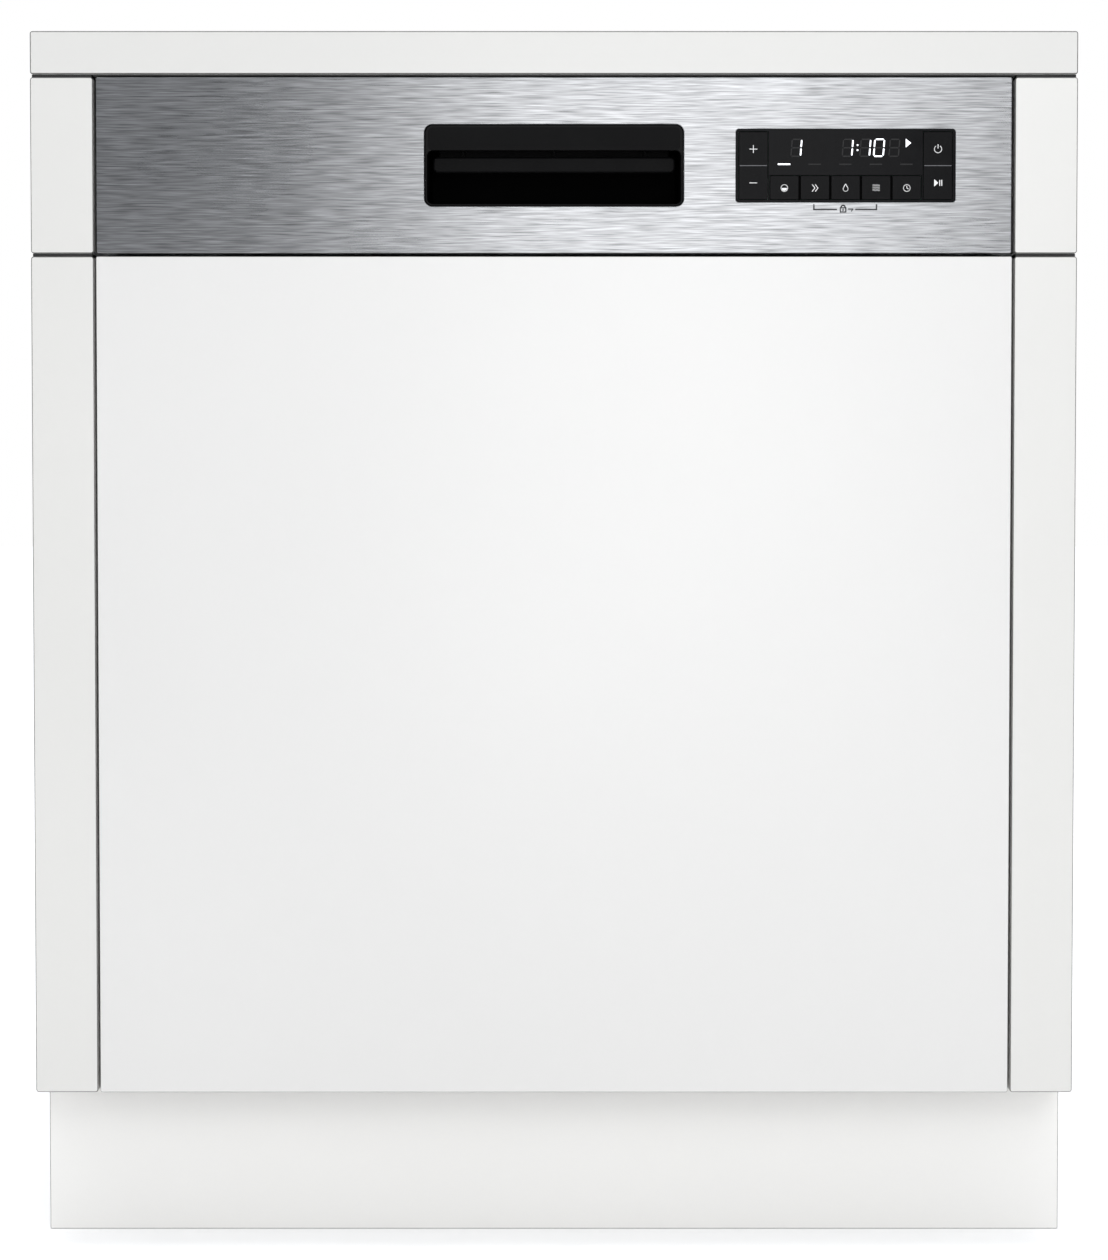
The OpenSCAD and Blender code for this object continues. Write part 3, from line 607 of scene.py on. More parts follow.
def make_boards():
    for name, key, body, node, r, edge in (
        ("worktop_board", "top", "housing", "worktop", 1.8, 1.1),
        ("door_front_panel", "front", "door", "furniture_door", 1.2, 0.5),
    ):
        low, high = BOX[node]
        Part().plate([around(BOX[node], 0, r)], low.y, high.y, edge, 3).link(name, key, body, node)
    for node in ("upper_stiles", "lower_stiles"):
        low, high = BOX[node]
        sides = (low.x, -NICHE / 2), (NICHE / 2, high.x)
        shapes = [outline((a, low.z), (b, high.z), 1.8) for a, b in sides]
        Part().plate(shapes, low.y, high.y, 0.9, 3).link(node + "_boards", "board", "housing", node)

    low, high = BOX["plinth"]
    toe = Part().block(low, (high.x, low.y + TOE_BOARD, high.z), 0.8, 3)
    toe.pair((CLIP_X - 15, low.y + 15, 40), (CLIP_X + 15, high.y, 70), 1.5)
    toe.link("toe_board", "plinth", "housing", "plinth")

    toe_y, toe_z = low.y + TOE_BOARD, BOX["lower_stiles"][0].z
    low, high = BOX["end_panels"]
    side = [(low.y, toe_z), (toe_y, toe_z), (toe_y, low.z),
            (high.y, low.z), (high.y, high.z), (low.y, high.z)]
    drilled = [circle(y, z, 2.5, 20) for y in (FRONT + 60, FRONT + 560) for z in (130, 730)]
    boards = Part()
    for x in (-high.x, high.x - BOARD):
        boards.plate([side, *drilled], x, x + BOARD, 0.6, turn=SIDEWAYS)
    boards.link("side_boards", "board", "housing", "end_panels")


def make_gap_shadow_strips():
    """Painted shadow: black strips behind the gaps between the stiles and under the worktop, where there is
    only shade.
    """
    front, back = FRONT + 2, FRONT + 17.8
    lower, upper, worktop = BOX["lower_stiles"], BOX["upper_stiles"], BOX["worktop"]
    shadow_strips = Part()
    for under, over in ((lower, upper), (upper, worktop)):
        low = NICHE / 2 + 1, front, under[1].z + 0.05
        shadow_strips.pair(low, (upper[1].x - 1, back, over[0].z - 0.05), 0.2, 1)
    top = worktop[0].z
    low_z = top - 0.6 * (top - BOX["fascia"][1].z)
    shadow_strips.block((-NICHE / 2, front, low_z), (NICHE / 2, back, top), 0.2, 1)
    shadow_strips.link("gap_shadow_strips", "tape", "housing")


# ---- fascia, grip and keys

def make_fascia():
    low, high = BOX["fascia"]
    sheet = 1.6
    outer = around(BOX["fascia"], 0, 1.2)
    holes = [around(GRIP, 0, GRIP_R, 8), around(BOX["display_panel"], 0.2, 1.9)]
    skin = Part().plate([outer, *holes], low.y + 0.5 * MARK, low.y + sheet, 0.55, 3)
    skin.plate([outer, around(BOX["fascia"], -sheet, 0.8)], low.y + 0.6, high.y, 0.3)
    skin.link("fascia_sheet", "fascia", "door", "fascia")
    dress("control_housing", "dark", 0.4)


def make_grip():
    low, high = GRIP
    wall = 2
    recess = BOX["handle_recess"]
    front, back = recess[0].y, recess[1].y
    mouth = outline((low.x + wall, low.z + 1.6), (high.x - wall, LIP_LOW), 3.6, 8)
    bezel = Part().plate([around(GRIP, -0.2, GRIP_R, 8), mouth], front, front + 4.8, 0.7, 3)
    bezel.link("grip_frame", "bezel", "door", "handle_recess")
    lip = outline((low.x + 2.3, LIP_LOW), (high.x - 2.3, high.z - 1.9), 3.2, 8)
    Part().plate([lip], front - 0.12, front + 2, 0.2).link("grip_lip", "black", "door")

    hull = recess[0] + X * 0.1, recess[1] - X * 0.1
    rows = (0, 4, front + 4.6), (0, 4, back - 5), (-2, 4, back - 1), (-4, 3, back)
    outside = [loop(hull, *row) for row in rows]
    rows = (-4, 3, back - 1.8), (-wall, 3, back - 6), (-wall, 3, front + 4.6)
    inside = [loop(hull, *row) for row in rows]
    bowl = Part().loft(outside, False, True).loft(inside, True, False)
    # the bowl takes the painted shade of the recess
    bowl.loft([outside[0], inside[-1]], False, False).weld().link("grip_bowl", "recess_shade", "door")


def make_lever():
    low, high = BOX["latch_lever"]
    bottom, top = BAR_Z
    half = BAR_HALF - 3.5
    axis_z = high.z - 2.5
    span = high.x - low.x
    lever = Part().plate([outline((-BAR_HALF, bottom), (BAR_HALF, top), 3.2, 8)], low.y, low.y + 8, 1.3, 4)
    lever.block((-half, low.y + 6, bottom + 2), (half, FRONT + 29, top - 1), 1)
    lever.block((-half, FRONT + 26, bottom + 2), (half, FRONT + 29, axis_z), 0.8)
    pin = [(0, 0), (2.2, 0), (2.5, 0.4), (2.5, span - 0.4), (2.2, span), (0, span)]
    lever.turned(pin, (low.x, FRONT + 30, axis_z), X, 24)
    for x in (-60, 0, 60):
        lever.block((x - 1, FRONT + 21, top - 2), (x + 1, FRONT + 27, RIB_TOP), 0.4)
    lever.link("grip_lever", "black", "latch_lever", "latch_lever")


def make_panel():
    panel = BOX["display_panel"]
    low, high = panel
    rows = [(cap, cap) for cap in ROCKERS] + [(KEYS[0], KEYS[-1])]
    holes = [around((BOX[first][0], BOX[last][1]), 0.35, 0.5, 3) for first, last in rows]
    face = Part().plate([around(panel, 0, 1.7), *holes], low.y + 2 * MARK, high.y, 0.18)
    face.link("panel_frame", "window", "door", "display_panel")
    ribs = Part()
    for left, right in zip(KEYS, KEYS[1:]):
        a, b = BOX[left][1], BOX[right][0]
        ribs.block((a.x + 0.1, low.y + 1, b.z), (b.x - 0.1, high.y, a.z), 0.1, 1)
    # the ribs between the keys take the painted shade of the recess
    ribs.link("key_ribs", "recess_shade", "door", slot="gloss_black")
    skin = 3
    for cap in ROCKERS + KEYS:
        a, b = BOX[cap]
        made = Part().plate([around(BOX[cap], 0, 0.6, 3)], a.y, a.y + skin + 0.3, 0.25)
        length = b.y - a.y - skin
        stem = [(0, 0), (1.9, 0), (1.9, length - 0.3), (1.6, length), (0, length)]
        for share in (0.23, 0.77) if cap in ROCKERS else (0.5,):
            made.turned(stem, ((a.x + b.x) / 2, a.y + skin, a.z + (b.z - a.z) * share), Y, 20)
        made.link(cap + "_cap", "cap", cap, cap)
    dress("control_board", "circuit", 0.3)


# ---- marks on the keys and the display

def digit(part, value, x, z, w, h, t, y):
    """Adds a seven-segment digit with its lower left corner at x, z."""
    lean = 0.08
    mid = z + h / 2
    ends = {
        "a": ((x, z + h), (x + w, z + h)), "g": ((x, mid), (x + w, mid)), "d": ((x, z), (x + w, z)),
        "f": ((x, mid), (x, z + h)), "b": ((x + w, mid), (x + w, z + h)),
        "e": ((x, z), (x, mid)), "c": ((x + w, z), (x + w, mid)),
    }
    for segment in {"0": "abcdef", "1": "bc", "8": "abcdefg"}[value]:
        a, b = [Vector((px, 0, pz)) for px, pz in ends[segment]]
        along = (b - a).normalized() * t / 2
        side = Vector((-along.z, 0, along.x))
        a, b = a + along * 0.7, b - along * 0.7
        corners = [a, a + along + side, b - along + side, b, b - along - side, a + along - side]
        part.flat([Vector((p.x + (p.z - z) * lean, y, p.z)) for p in corners])


CROSSBAR = [(-1, 0), (1, 0)]
RING = arc(0, 0, 1, 0, 360, 24)
LINES = {   # the strokes of each pictogram, as shares of its size
    "minus": [CROSSBAR],
    "plus": [CROSSBAR, [(0, -1), (0, 1)]],
    "power": [arc(0, 0, 1, 125, 415), [(0, 0.2), (0, 1.25)]],
    "start": [[(dx, -0.75), (dx, 0.75)] for dx in (0.5, 1.05)],
    "half": [RING],
    "clock": [RING, [(0, 0.6), (0, 0), (0.45, -0.25)]],
    "quick": [[(dx, 1), (dx + 0.8, 0), (dx, -1)] for dx in (-0.8, 0.1)],
    "drop": [[(0, 1.2), *arc(0, -0.25, 0.72, 150, 390, 16), (0, 1.2)]],
    "waves": [[(t / 8 - 1, dz + 0.2 * math.sin(t * math.pi / 4)) for t in range(17)]
              for dz in (-0.6, 0.1, 0.8)],
}
FILLED = {"start": [(0.1, 0), (-1, 1), (-1, -1)], "half": arc(0, 0, 0.8, 180, 360)[::-1]}
THIN, WIDE = 0.42, 0.504


def icon(part, kind, x, z, size, y):
    """Adds a pictogram centred on x, z that reaches about its size to each side."""
    def sized(points):
        return [(x + size * px, z + size * pz) for px, pz in points]

    for points in LINES[kind]:
        part.stroke(sized(points), WIDE if kind == "start" else THIN, y)
    if kind in FILLED:
        part.flat([Vector((px, y, pz)) for px, pz in sized(FILLED[kind])])


def make_key_marks():
    for key, kind in zip(KEYS, ("half", "quick", "drop", "waves", "clock")):
        at = middle(key)
        mark = Part()
        icon(mark, kind, at.x, at.z - 0.3, 2.2, BOX[key][0].y)
        mark.link(key + "_mark", "ink", key, smooth=0)
    for cap, upper, lower in zip(ROCKERS, ("plus", "power"), ("minus", "start")):
        low, high = BOX[cap]
        x, _, mid = middle(cap)
        height = high.z - low.z
        marks = Part()
        icon(marks, upper, x, mid + 0.245 * height, 2.4, low.y)
        icon(marks, lower, x, mid - 0.255 * height, 2.4, low.y)
        marks.link(cap + "_marks", "ink", cap, smooth=0)
        rule = Part().stroke([(low.x + 0.7, mid), (high.x - 0.7, mid)], 0.45, low.y)
        rule.link(cap + "_rule", "rule", cap, smooth=0)


def make_display():
    """Lit and unlit digits, and the dashes under them."""
    low, high = BOX["display_panel"]
    first, keys_top = BOX["key_1"][0].x, BOX["key_5"][1].z
    base = keys_top + (high.z - keys_top) * 0.42
    wide, tall = 6.2, 11
    cells = [13.5, 33, 47, 58.5, 67.5, 77.5]
    dash_z = base - 5.2
    y = low.y + MARK
    lit = Part()
    for cell, value in ((0, "1"), (2, "1"), (3, "1"), (4, "0")):
        digit(lit, value, first + cells[cell], base, wide, tall, 0.95, y)
    for dz in (0.36, 0.66):
        lit.flat([Vector((a, y, b)) for a, b in circle(first + 57, base + tall * dz, 0.6, 10)][::-1])
    x, z = first + 88.5, base + 0.78 * tall
    lit.flat([Vector((x, y, z - 2.8)), Vector((x + 3.5, y, z)), Vector((x, y, z + 2.8))])
    lit.stroke([(first + 5.2, dash_z), (first + 12.8, dash_z)], 0.95, y)
    lit.link("display_lit", "lit", "door", smooth=0)

    y += 0.5 * MARK
    dim = Part()
    for cell in cells[:1] + cells[2:]:
        digit(dim, "8", first + cell, base, wide, tall, 0.8, y)
    for i in range(1, 5):
        x = first + 5.2 + 20 * i
        dim.stroke([(x, dash_z), (x + 7.6, dash_z)], 0.8, y)
    dim.link("display_dim", "dim", "door", smooth=0)


def make_lock_mark():
    """Bracket and padlock printed on the steel under the keys."""
    mid = (BOX["key_2"][1].x + BOX["key_4"][0].x) / 2 - 0.4
    left, right = mid - 20.3, mid + 20.6
    panel_z = BOX["display_panel"][0].z
    top, foot = panel_z - 1.9, panel_z - 5.0
    x, z = mid - 1.2, foot - 0.2
    x0, x1, z0, z1 = x - 1.8, x + 1.8, z - 1.4, z + 1.3
    body = [(x0, z0), (x1, z0), (x1, z1), (x0, z1), (x0, z0)]
    lock = Part()
    for points, width in (
        ([(left, top), (left, foot), (mid - 5.5, foot)], 1.0),
        ([(mid + 7, foot), (right, foot), (right, top)], 1.0),
        (body, 0.8),
        (arc(x, z + 1.6, 1.3, 0, 180), 0.8),
        ([(x, z - 0.6), (x, z + 0.5)], 0.8),
        ([(x + 3.4, z + 0.5), (x + 6.4, z + 0.5), (x + 5.4, z - 0.9)], 0.7),
    ):
        lock.stroke(points, width, BOX["fascia"][0].y + MARK)
    lock.link("lock_mark", "grey_ink", "door", smooth=0)


# ---- door

def make_door_inside():
    box = BOX["inner_door"]
    low, high = box
    face = high.y
    pan = Vector((low.x + 48, 0, PAN_Z[0])), Vector((high.x - 48, 0, PAN_Z[1]))
    loops = [loop(box, -by, 3, face - y, 10) for by, y in ((0, 6), (0, 1.5), (0.5, 0.4), (1.6, 0))]
    slope = (-3, 0), (-1, 0.4), (0.5, 1.6), (1.5, 4), (3, 11), (4.5, 13.2), (7.5, PAN_DEPTH)
    loops += [loop(pan, -by, 34 - by, face - y, 10) for by, y in slope]
    sheet = Part().loft(loops, False, True)
    thicken(sheet.link("door_inner_panel", "steel", "door", "inner_door", smooth=50), "sheet", 1.0)

    beads = Part()
    floor = face - PAN_DEPTH
    for z in (*steps(PAN_Z[0] + 55, PAN_Z[0] + 145, 3), PAN_Z[1] - 45):
        beads.plate([outline((-175, z - 7), (175, z + 7), 6.86, 8)], floor - 0.3, floor + 1.6, 1.0, 4)
    beads.link("door_panel_beads", "steel", "door", smooth=50)
    dress("outer_door", "zinc", 0.3)
    dress("hinge_arms", "zinc")
    dress("latch_module", "dark", 0.5)


def make_dispenser():
    box = BOX["dispenser"]
    low, high = box
    face = high.y - 2
    x, _, z = middle("rinse_aid_cap")
    cup = Vector((low.x + 19, 0, low.z + 108)), Vector((low.x + 81, 0, low.z + 168))
    window = outline((x - 25, low.z + 35), (x + 25, low.z + 75), 5)
    front = Part()
    front.plate([around(box, 0, 12, 8), around(cup, 0, 6), window, circle(x, z, 17)], face - 6, face, 1.2, 3)
    front.plate([circle(x, z, 25), circle(x, z, 17)], face - 1, high.y, 0.5)
    front.block((x - 25.5, face - 6, low.z + 34.5), (x + 25.5, face - 2.4, low.z + 75.5), 0.5)
    for rib in steps(low.z + 42, low.z + 68, 5):
        front.block((x - 18, face - 2.6, rib - 0.8), (x + 18, face - 1.2, rib + 0.8), 0.4)
    front.link("dispenser_face", "dispenser", "door", "dispenser")

    back = low.y + 4
    rows = (1.5, 6, face - 4), (0, 6, face - 4), (-1, 6, back + 6), (-6, 5, back)
    inside = Part().loft([loop(cup, *row) for row in rows], False, True)
    thicken(inside.link("detergent_cup", "dispenser", "door"), "wall", 1.4)
    tank = Part().block((-8, low.y, low.z + 5), (high.x - 5, face - 6, high.z - 5), 3)
    tank.link("rinse_aid_tank", "pale", "door", slot="dispenser_grey")

    low, high = BOX["detergent_lid"]
    lid = Part().plate([around(BOX["detergent_lid"], 0, 5)], low.y, low.y + 3.2, 1, 3)
    mid = middle("detergent_lid").x
    for rib in steps(low.z + 10, low.z + 20.2, 4):
        lid.block((mid - 17, low.y + 2.6, rib), (mid + 17, high.y - 0.4, rib + 1.5), 0.5)
    lid.link("detergent_cover", "dispenser", "detergent_lid", "detergent_lid")

    y, end = [corner.y for corner in BOX["rinse_aid_cap"]]
    profile = [(0, 0), (16.5, 0), (16.95, 0.6), (16.95, 18), (22.2, 18), (23, 18.8), (23, 20.8), (22, 21.8),
               (17, 21.8), (15, 20.6), (0, 20.4)]
    knob = Part().turned(profile, (x, y, z), Y, 64)
    knob.block((x - 18, y + 20, z - 2.5), (x + 18, end, z + 2.5), 1, 3)
    knob.link("rinse_aid_knob", "blue", "rinse_aid_cap", "rinse_aid_cap")


# ---- tub, seal and jacket

def make_tub():
    low, high = BOX["tub"]
    floor, ceiling = low.z + 24, high.z - 11
    side = high.x - 8.5
    front, back = low.y, high.y
    inner = 1.5
    room = Vector((-side, 0, floor)), Vector((side, 0, ceiling))
    rows = ((inner, 28, front + 0.8), (inner, 28, back - 40), (inner + 2, 28, back - 16),
            (inner + 9, 24, back - 5), (inner + 22, 18, back - inner))
    shell = Part().loft([loop(room, -by, r, y, 10) for by, r, y in rows], False, True)
    body = shell.link("tub_shell", "steel", "housing", "tub", smooth=50)
    inside = Vector((0, back - 100, (floor + ceiling) / 2)) * MM
    inward = sum(p.normal.dot(inside - p.center) * p.area for p in body.data.polygons) > 0
    thicken(body, "sheet", 0.9, -1 if inward else 1)
    drill(body, SUMP_AT, 103.5, floor)
    drill(body, SALT_AT, 31, floor)

    rings = [around(BOX["tub"], 0, 14, 8), around(room, -inner, 28, 10)]
    flange = Part().plate(rings, front, front + 1.5, 0.5, 3)
    flange.link("tub_flange", "steel", "housing", smooth=50)

    beads = Part()
    reach = side - inner + 2.4
    for x in (-reach, reach):
        for z in (floor + 95, floor + 195, floor + 420, floor + 490):
            beads.wires([[(x, y, z) for y in steps(front + 60, back - 70, 12)]], 4.2, 4)
    for x in (-190, -110, 110, 190):
        beads.wires([[(x, back - inner + 0.8, z) for z in steps(floor + 80, ceiling - 80, 12)]], 3.4, 4)
    beads.link("tub_beads", "steel", "housing", smooth=60)

    low, high = BOX["tub_gasket"]
    y, bottom = middle("tub_gasket").y, low.z + 3.1
    seal = Part()
    for inset, out, corner, r, resolution in ((3.7, 0, 22, 3.0, 4), (8.1, 1.4, 18, 1.6, 3)):
        x, top = high.x - inset, high.z - inset
        hoop = [(px, y + out, pz) for px, pz in ((-x, bottom), (-x, top), (x, top), (x, bottom))]
        seal.wires([bent(hoop, corner, 10)], r, resolution)
    seal.link("door_seal_lips", "seal", "housing", "tub_gasket", smooth=60)


def drill(obj, at, radius, z):
    """Makes an upright hole through a piece."""
    reach = 12   # past both sides of the sheet
    profile = [(0, -reach), (radius, -reach), (radius, reach), (0, reach)]
    mesh = Part().turned(profile, (*at, z), Z, 96).mesh()
    mesh.transform(Matrix.Scale(MM, 4))
    tool = bpy.data.objects.new("drill", mesh)
    bpy.context.scene.collection.objects.link(tool)
    cut = obj.modifiers.new("hole", "BOOLEAN")
    cut.object = tool
    cut.solver = "EXACT"
    bpy.context.view_layer.update()
    done = bpy.data.meshes.new_from_object(obj.evaluated_get(bpy.context.evaluated_depsgraph_get()))
    obj.modifiers.clear()
    obj.data = done
    bpy.data.objects.remove(tool)


def make_jacket():
    box = BOX["insulation_jacket"]
    low, high = box
    mid = middle("insulation_jacket").z

    def ring(y):
        """Loop with a point about every 12 mm, so that the felt can be uneven."""
        flat = loop(box, -0.8, 14, y, 5)
        dense = []
        for a, b in zip(flat, flat[1:] + flat[:1]):
            count = max(1, round((b - a).length / 12))
            dense += [a.lerp(b, i / count) for i in range(count)]
        return dense

    loops = [ring(y) for y in steps(low.y, high.y - 10, 36)]
    edge = loops[-1]
    depths = [4, 1.2] + [0.9] * 8
    for share, y in zip((0.992, 0.975, 0.94, 0.86, 0.76, 0.64, 0.5, 0.35, 0.18, 0.04), depths):
        loops.append([Vector((p.x * share, high.y - y, mid + (p.z - mid) * share)) for p in edge])
    for p in [p for loop in loops for p in loop]:
        n = noise.noise(p * 28 * MM) * 0.9 + noise.noise(p * 95 * MM) * 0.5
        p -= Vector((p.x, 0, p.z - mid)).normalized() * (0.9 + n) * 0.4
        p.y -= abs(n) * 0.5
    shell = Part().loft(loops, False, True)
    thicken(shell.link("felt_jacket", "felt", "housing", "insulation_jacket", smooth=80), "felt", 2.4)

    straps = Part().block((-22, high.y - 1.5, low.z + 4), (22, high.y + 0.5, high.z - 4), 0.2, 1)
    washer = [(0, -1), (12, -1), (12, 1.6), (10.5, 2.4), (5, 2), (4, 0.8), (0, 0.6)]
    for x in (-210, -75, 75, 210):
        for z in steps(low.z + 60, high.z - 60, 3):
            straps.turned(washer, (x, high.y - 0.8, z), Y, 28)
    for y in (low.y + 120, low.y + 330):
        straps.plate([around(box, 0.2, 15), around(box, -0.5, 14.5)], y, y + 16, 0.2, 1)
    straps.link("jacket_straps", "strap", "housing")


# ---- racks

def basket_wires(part, box, floor, margin, round_by):
    """Adds a wire basket: two rims and bent wires both ways."""
    low, high = box
    x, y0, y1, top = high.x - margin - 2.5, low.y + 2.5, high.y - 2.5, high.z - 2.5
    part.wires([rim(-x, y0, x, y1, top, 22)], 2.4, 3, closed=True)
    side = x - 1.5
    part.wires([rim(-side, y0 + 1.5, side, y1 - 1.5, (floor + top) / 2 + 4, 20)], 1.9, 3, closed=True)
    paths = []
    for px in steps(-x + 26, x - 26, 14):
        u = [(px, y0 + 1, top), (px, y0 + 1, floor), (px, y1 - 1, floor), (px, y1 - 1, top)]
        paths.append(bent(u, round_by))
    for py in steps(y0 + 26, y1 - 26, 13):
        z = floor + 2.4
        u = [(1 - x, py, top), (1 - x, py, z), (x - 1, py, z), (x - 1, py, top)]
        paths.append(bent(u, round_by))
    part.wires(paths, 1.45, 2)


def tine_row(part, feet, knee, tip):
    """Adds upright tines on the feet, bent at the knee. Both are steps from the foot."""
    paths = [bent([foot, Vector(foot) + Vector(knee), Vector(foot) + Vector(tip)], 6) for foot in feet]
    part.wires(paths, 1.5, 2)


def rack_grip(name, node):
    """Plastic grip on the front rim of a rack."""
    low, high = BOX[node]
    z = high.z - 2.5
    frame_shape = outline((-70, z - 20), (70, z + 1.8), 6)
    opening = outline((-52, z - 15), (52, z - 4), 4)
    Part().plate([frame_shape, opening], low.y, low.y + 7, 1.4, 3).link(name, "grey", node)


def make_lower_rack():
    box = BOX["lower_rack"]
    low, high = box
    x = high.x - 20
    floor = BOX["cutlery_basket"][0].z - 4.2
    rack = Part()
    basket_wires(rack, box, floor, 20, 14)
    for y in steps(low.y + 62, low.y + 232, 3):
        feet = [(px, y, floor) for px in steps(36 - x, 366 - x, 12)]
        tine_row(rack, feet, (0, -2.4, 34.8), (0, -8, 58))
    feet = [(px, high.y - 70, floor) for px in steps(x - 200, x - 30, 6)]
    tine_row(rack, feet, (0, 1.8, 30), (0, 6, 50))
    rack.link("lower_wire_rack", "wire", "lower_rack", "lower_rack", smooth=60)

    carriers = Part()
    stub = [(0, 0), (5.5, 0), (5.5, 4), (4, 5), (4, 19), (0, 19.6)]
    for node in ("front_wheels", "rear_wheels"):
        _, y, z = middle(node)
        carriers.pair((x - 3.5, y - 10, z - 9), (x + 2, y + 10, floor + 28), 2, 3)
        carriers.turned_pair(stub, x - 0.5, y, z, 24)
    carriers.link("wheel_carriers", "grey", "lower_rack")
    for node in ("front_wheels", "rear_wheels"):
        make_wheels(node)

    low, high = BOX["fold_tines"]
    y, z = middle("fold_tines").y, low.z + 2
    xs = steps(low.x + 10, high.x - 10, 8)
    tines = Part().wires([[(low.x, y, z), (high.x, y, z)]], 2.0, 3)
    tines.wires([[(px, y, z), (px, y, high.z - 1.5)] for px in xs], 1.5, 3)
    tines.wires([[(xs[0], y, z + 30), (xs[-1], y, z + 30)]], 1.2, 3)
    tines.link("fold_tine_row", "wire", "fold_tines", "fold_tines", smooth=60)
    rack_grip("lower_rack_grip", "lower_rack")


def make_wheels(node):
    """Pair of spoked wheels."""
    low, high = BOX[node]
    at, r = middle(node), (high.z - low.z) / 2
    tread = [(4.05, 0), (r - 1, 0), (r, 1), (r, 11), (r - 1, 12), (r - 3, 12), (r - 4.2, 9.2), (7.5, 9.2),
             (6.8, 11.4), (4.05, 11.6)]
    wheels = Part().turned_pair(tread, high.x - 12, at.y, at.z, 48, closed=True)
    for side in (-1, 1):
        hub = Matrix.Translation((side * (high.x - 12), at.y, at.z)) @ Matrix.Diagonal((side, 1, 1, 1))
        for k in range(6):
            turn = hub @ Matrix.Rotation(k * math.pi / 3, 4, "X")
            wheels.block((8.6, -0.8, 6), (11.4, 0.8, r - 2.6), 0.3, turn=turn)
    wheels.link(node + "_set", "grey", node, node)


def make_rollers(node, wide):
    """Pair of plain rollers of the upper rack's rails."""
    low, high = BOX[node]
    at, r = middle(node), (high.z - low.z) / 2
    profile = [(3.05, 0), (r - 0.8, 0), (r, 0.8), (r, wide - 0.8), (r - 0.8, wide), (r - 2.2, wide),
               (r - 2.8, wide - 1), (4.6, wide - 1), (3.05, wide - 0.2)]
    rollers = Part().turned_pair(profile, high.x - wide, at.y, at.z, 40, closed=True)
    rollers.link(node + "_set", "pale", node, node)


def make_cutlery_basket():
    low, high = BOX["cutlery_basket"]
    top = high.z - 34
    wall, border = 2, 5
    basket = Part()

    def side(x0, x1, y, turn=Matrix()):
        """One wall with its five rows of openings."""
        count = max(3, round((x1 - x0) / 11))
        pitch_x, pitch_z = (x1 - x0 - 2 * border) / count, (top - low.z - 14) / 5
        holes = []
        for a in [x0 + border + pitch_x * i for i in range(count)]:
            for z in [low.z + 7 + pitch_z * k for k in range(5)]:
                holes.append(outline((a + 1, z + 1), (a + pitch_x - 1, z + pitch_z - 2), 1.4, 3))
        basket.plate([outline((x0, low.z), (x1, top), 1.5, 3), *holes], y, y + wall, 0.3, 1, turn)

    for y in (low.y, high.y - wall):
        side(low.x, high.x, y)
    for share in (1 / 3, 2 / 3):
        side(low.x + wall, high.x - wall, low.y + (high.y - low.y) * share - wall / 2)
    for x in (low.x, high.x - wall):
        side(low.y, high.y, -x - wall, SIDEWAYS)
    basket.block(low, (high.x, high.y, low.z + 2), 0.5)
    x, foot, crown = middle("cutlery_basket").x, top - 12, high.z - 3.4
    y0, y1 = low.y + 3, high.y - 3
    arch = bent([(x, y0, foot), (x, y0, crown), (x, y1, crown), (x, y1, foot)], 20, 8)
    basket.wires([arch], 3.0, 4)
    rail = [outline((low.x + by, low.y + by), (high.x - by, high.y - by), r) for by, r in ((0, 4), (2.5, 3))]
    basket.plate(rail, -top, -top + 3, 0.6, turn=LEVEL)
    basket.link("cutlery_holder", "grey", "lower_rack", "cutlery_basket")


def make_upper_rack():
    box = BOX["upper_rack"]
    low, high = box
    x = high.x - 28
    floor = BOX["cup_shelf"][0].z - 44
    rack = Part()
    basket_wires(rack, box, floor, 28, 12)
    for tine_x in (x - 60, x - 150, -x + 150):
        feet = [(tine_x, y, floor) for y in steps(low.y + 40, high.y - 40, 12)]
        tine_row(rack, feet, (0, 0, 26), (8, 0, 46))
    rack.link("upper_wire_rack", "wire", "upper_rack", "upper_rack", smooth=60)

    _, y, z = middle("rear_rollers")
    slides = Part().pair((x + 11, low.y, z - 8.7), (x + 14, high.y, z + 8), 1, 2)
    for bridge in (low.y + 40, (low.y + high.y) / 2, high.y - 48):
        slides.pair((x - 4, bridge - 12, z - 5), (x + 12, bridge + 12, z + 7), 2, 3)
    slides.turned_pair([(0, 0), (3, 0), (3, 14.5), (0, 15)], x + 13, y, z, 20)
    slides.link("rack_slides", "pale", "upper_rack")
    rack_grip("upper_rack_grip", "upper_rack")
    make_rollers("front_rollers", 6)
    make_rollers("rear_rollers", 7)


def make_cup_shelf():
    low, high = BOX["cup_shelf"]
    z, x0, x1 = low.z + 2, low.x + 2, high.x - 1.5
    y0, y1 = low.y + 3, high.y - 3
    shelf = Part().wires([[(x0, low.y, z), (x0, high.y, z)]], 2.0, 3)
    shelf.wires([bent([(x0, y0, z), (x1, y0, z), (x1, y1, z), (x0, y1, z)], 16)], 1.9, 3)
    paths = [[(x0, y, z), (x1, y, z)] for y in steps(low.y + 24, high.y - 24, 15)]
    paths += [[(x, y0 + 1, z), (x, y1 - 1, z)] for x in steps(x0 + 22, x1 - 22, 3)]
    shelf.wires(paths, 1.2, 2).link("cup_shelf_wires", "grey", "cup_shelf", "cup_shelf", smooth=60)


# ---- water system

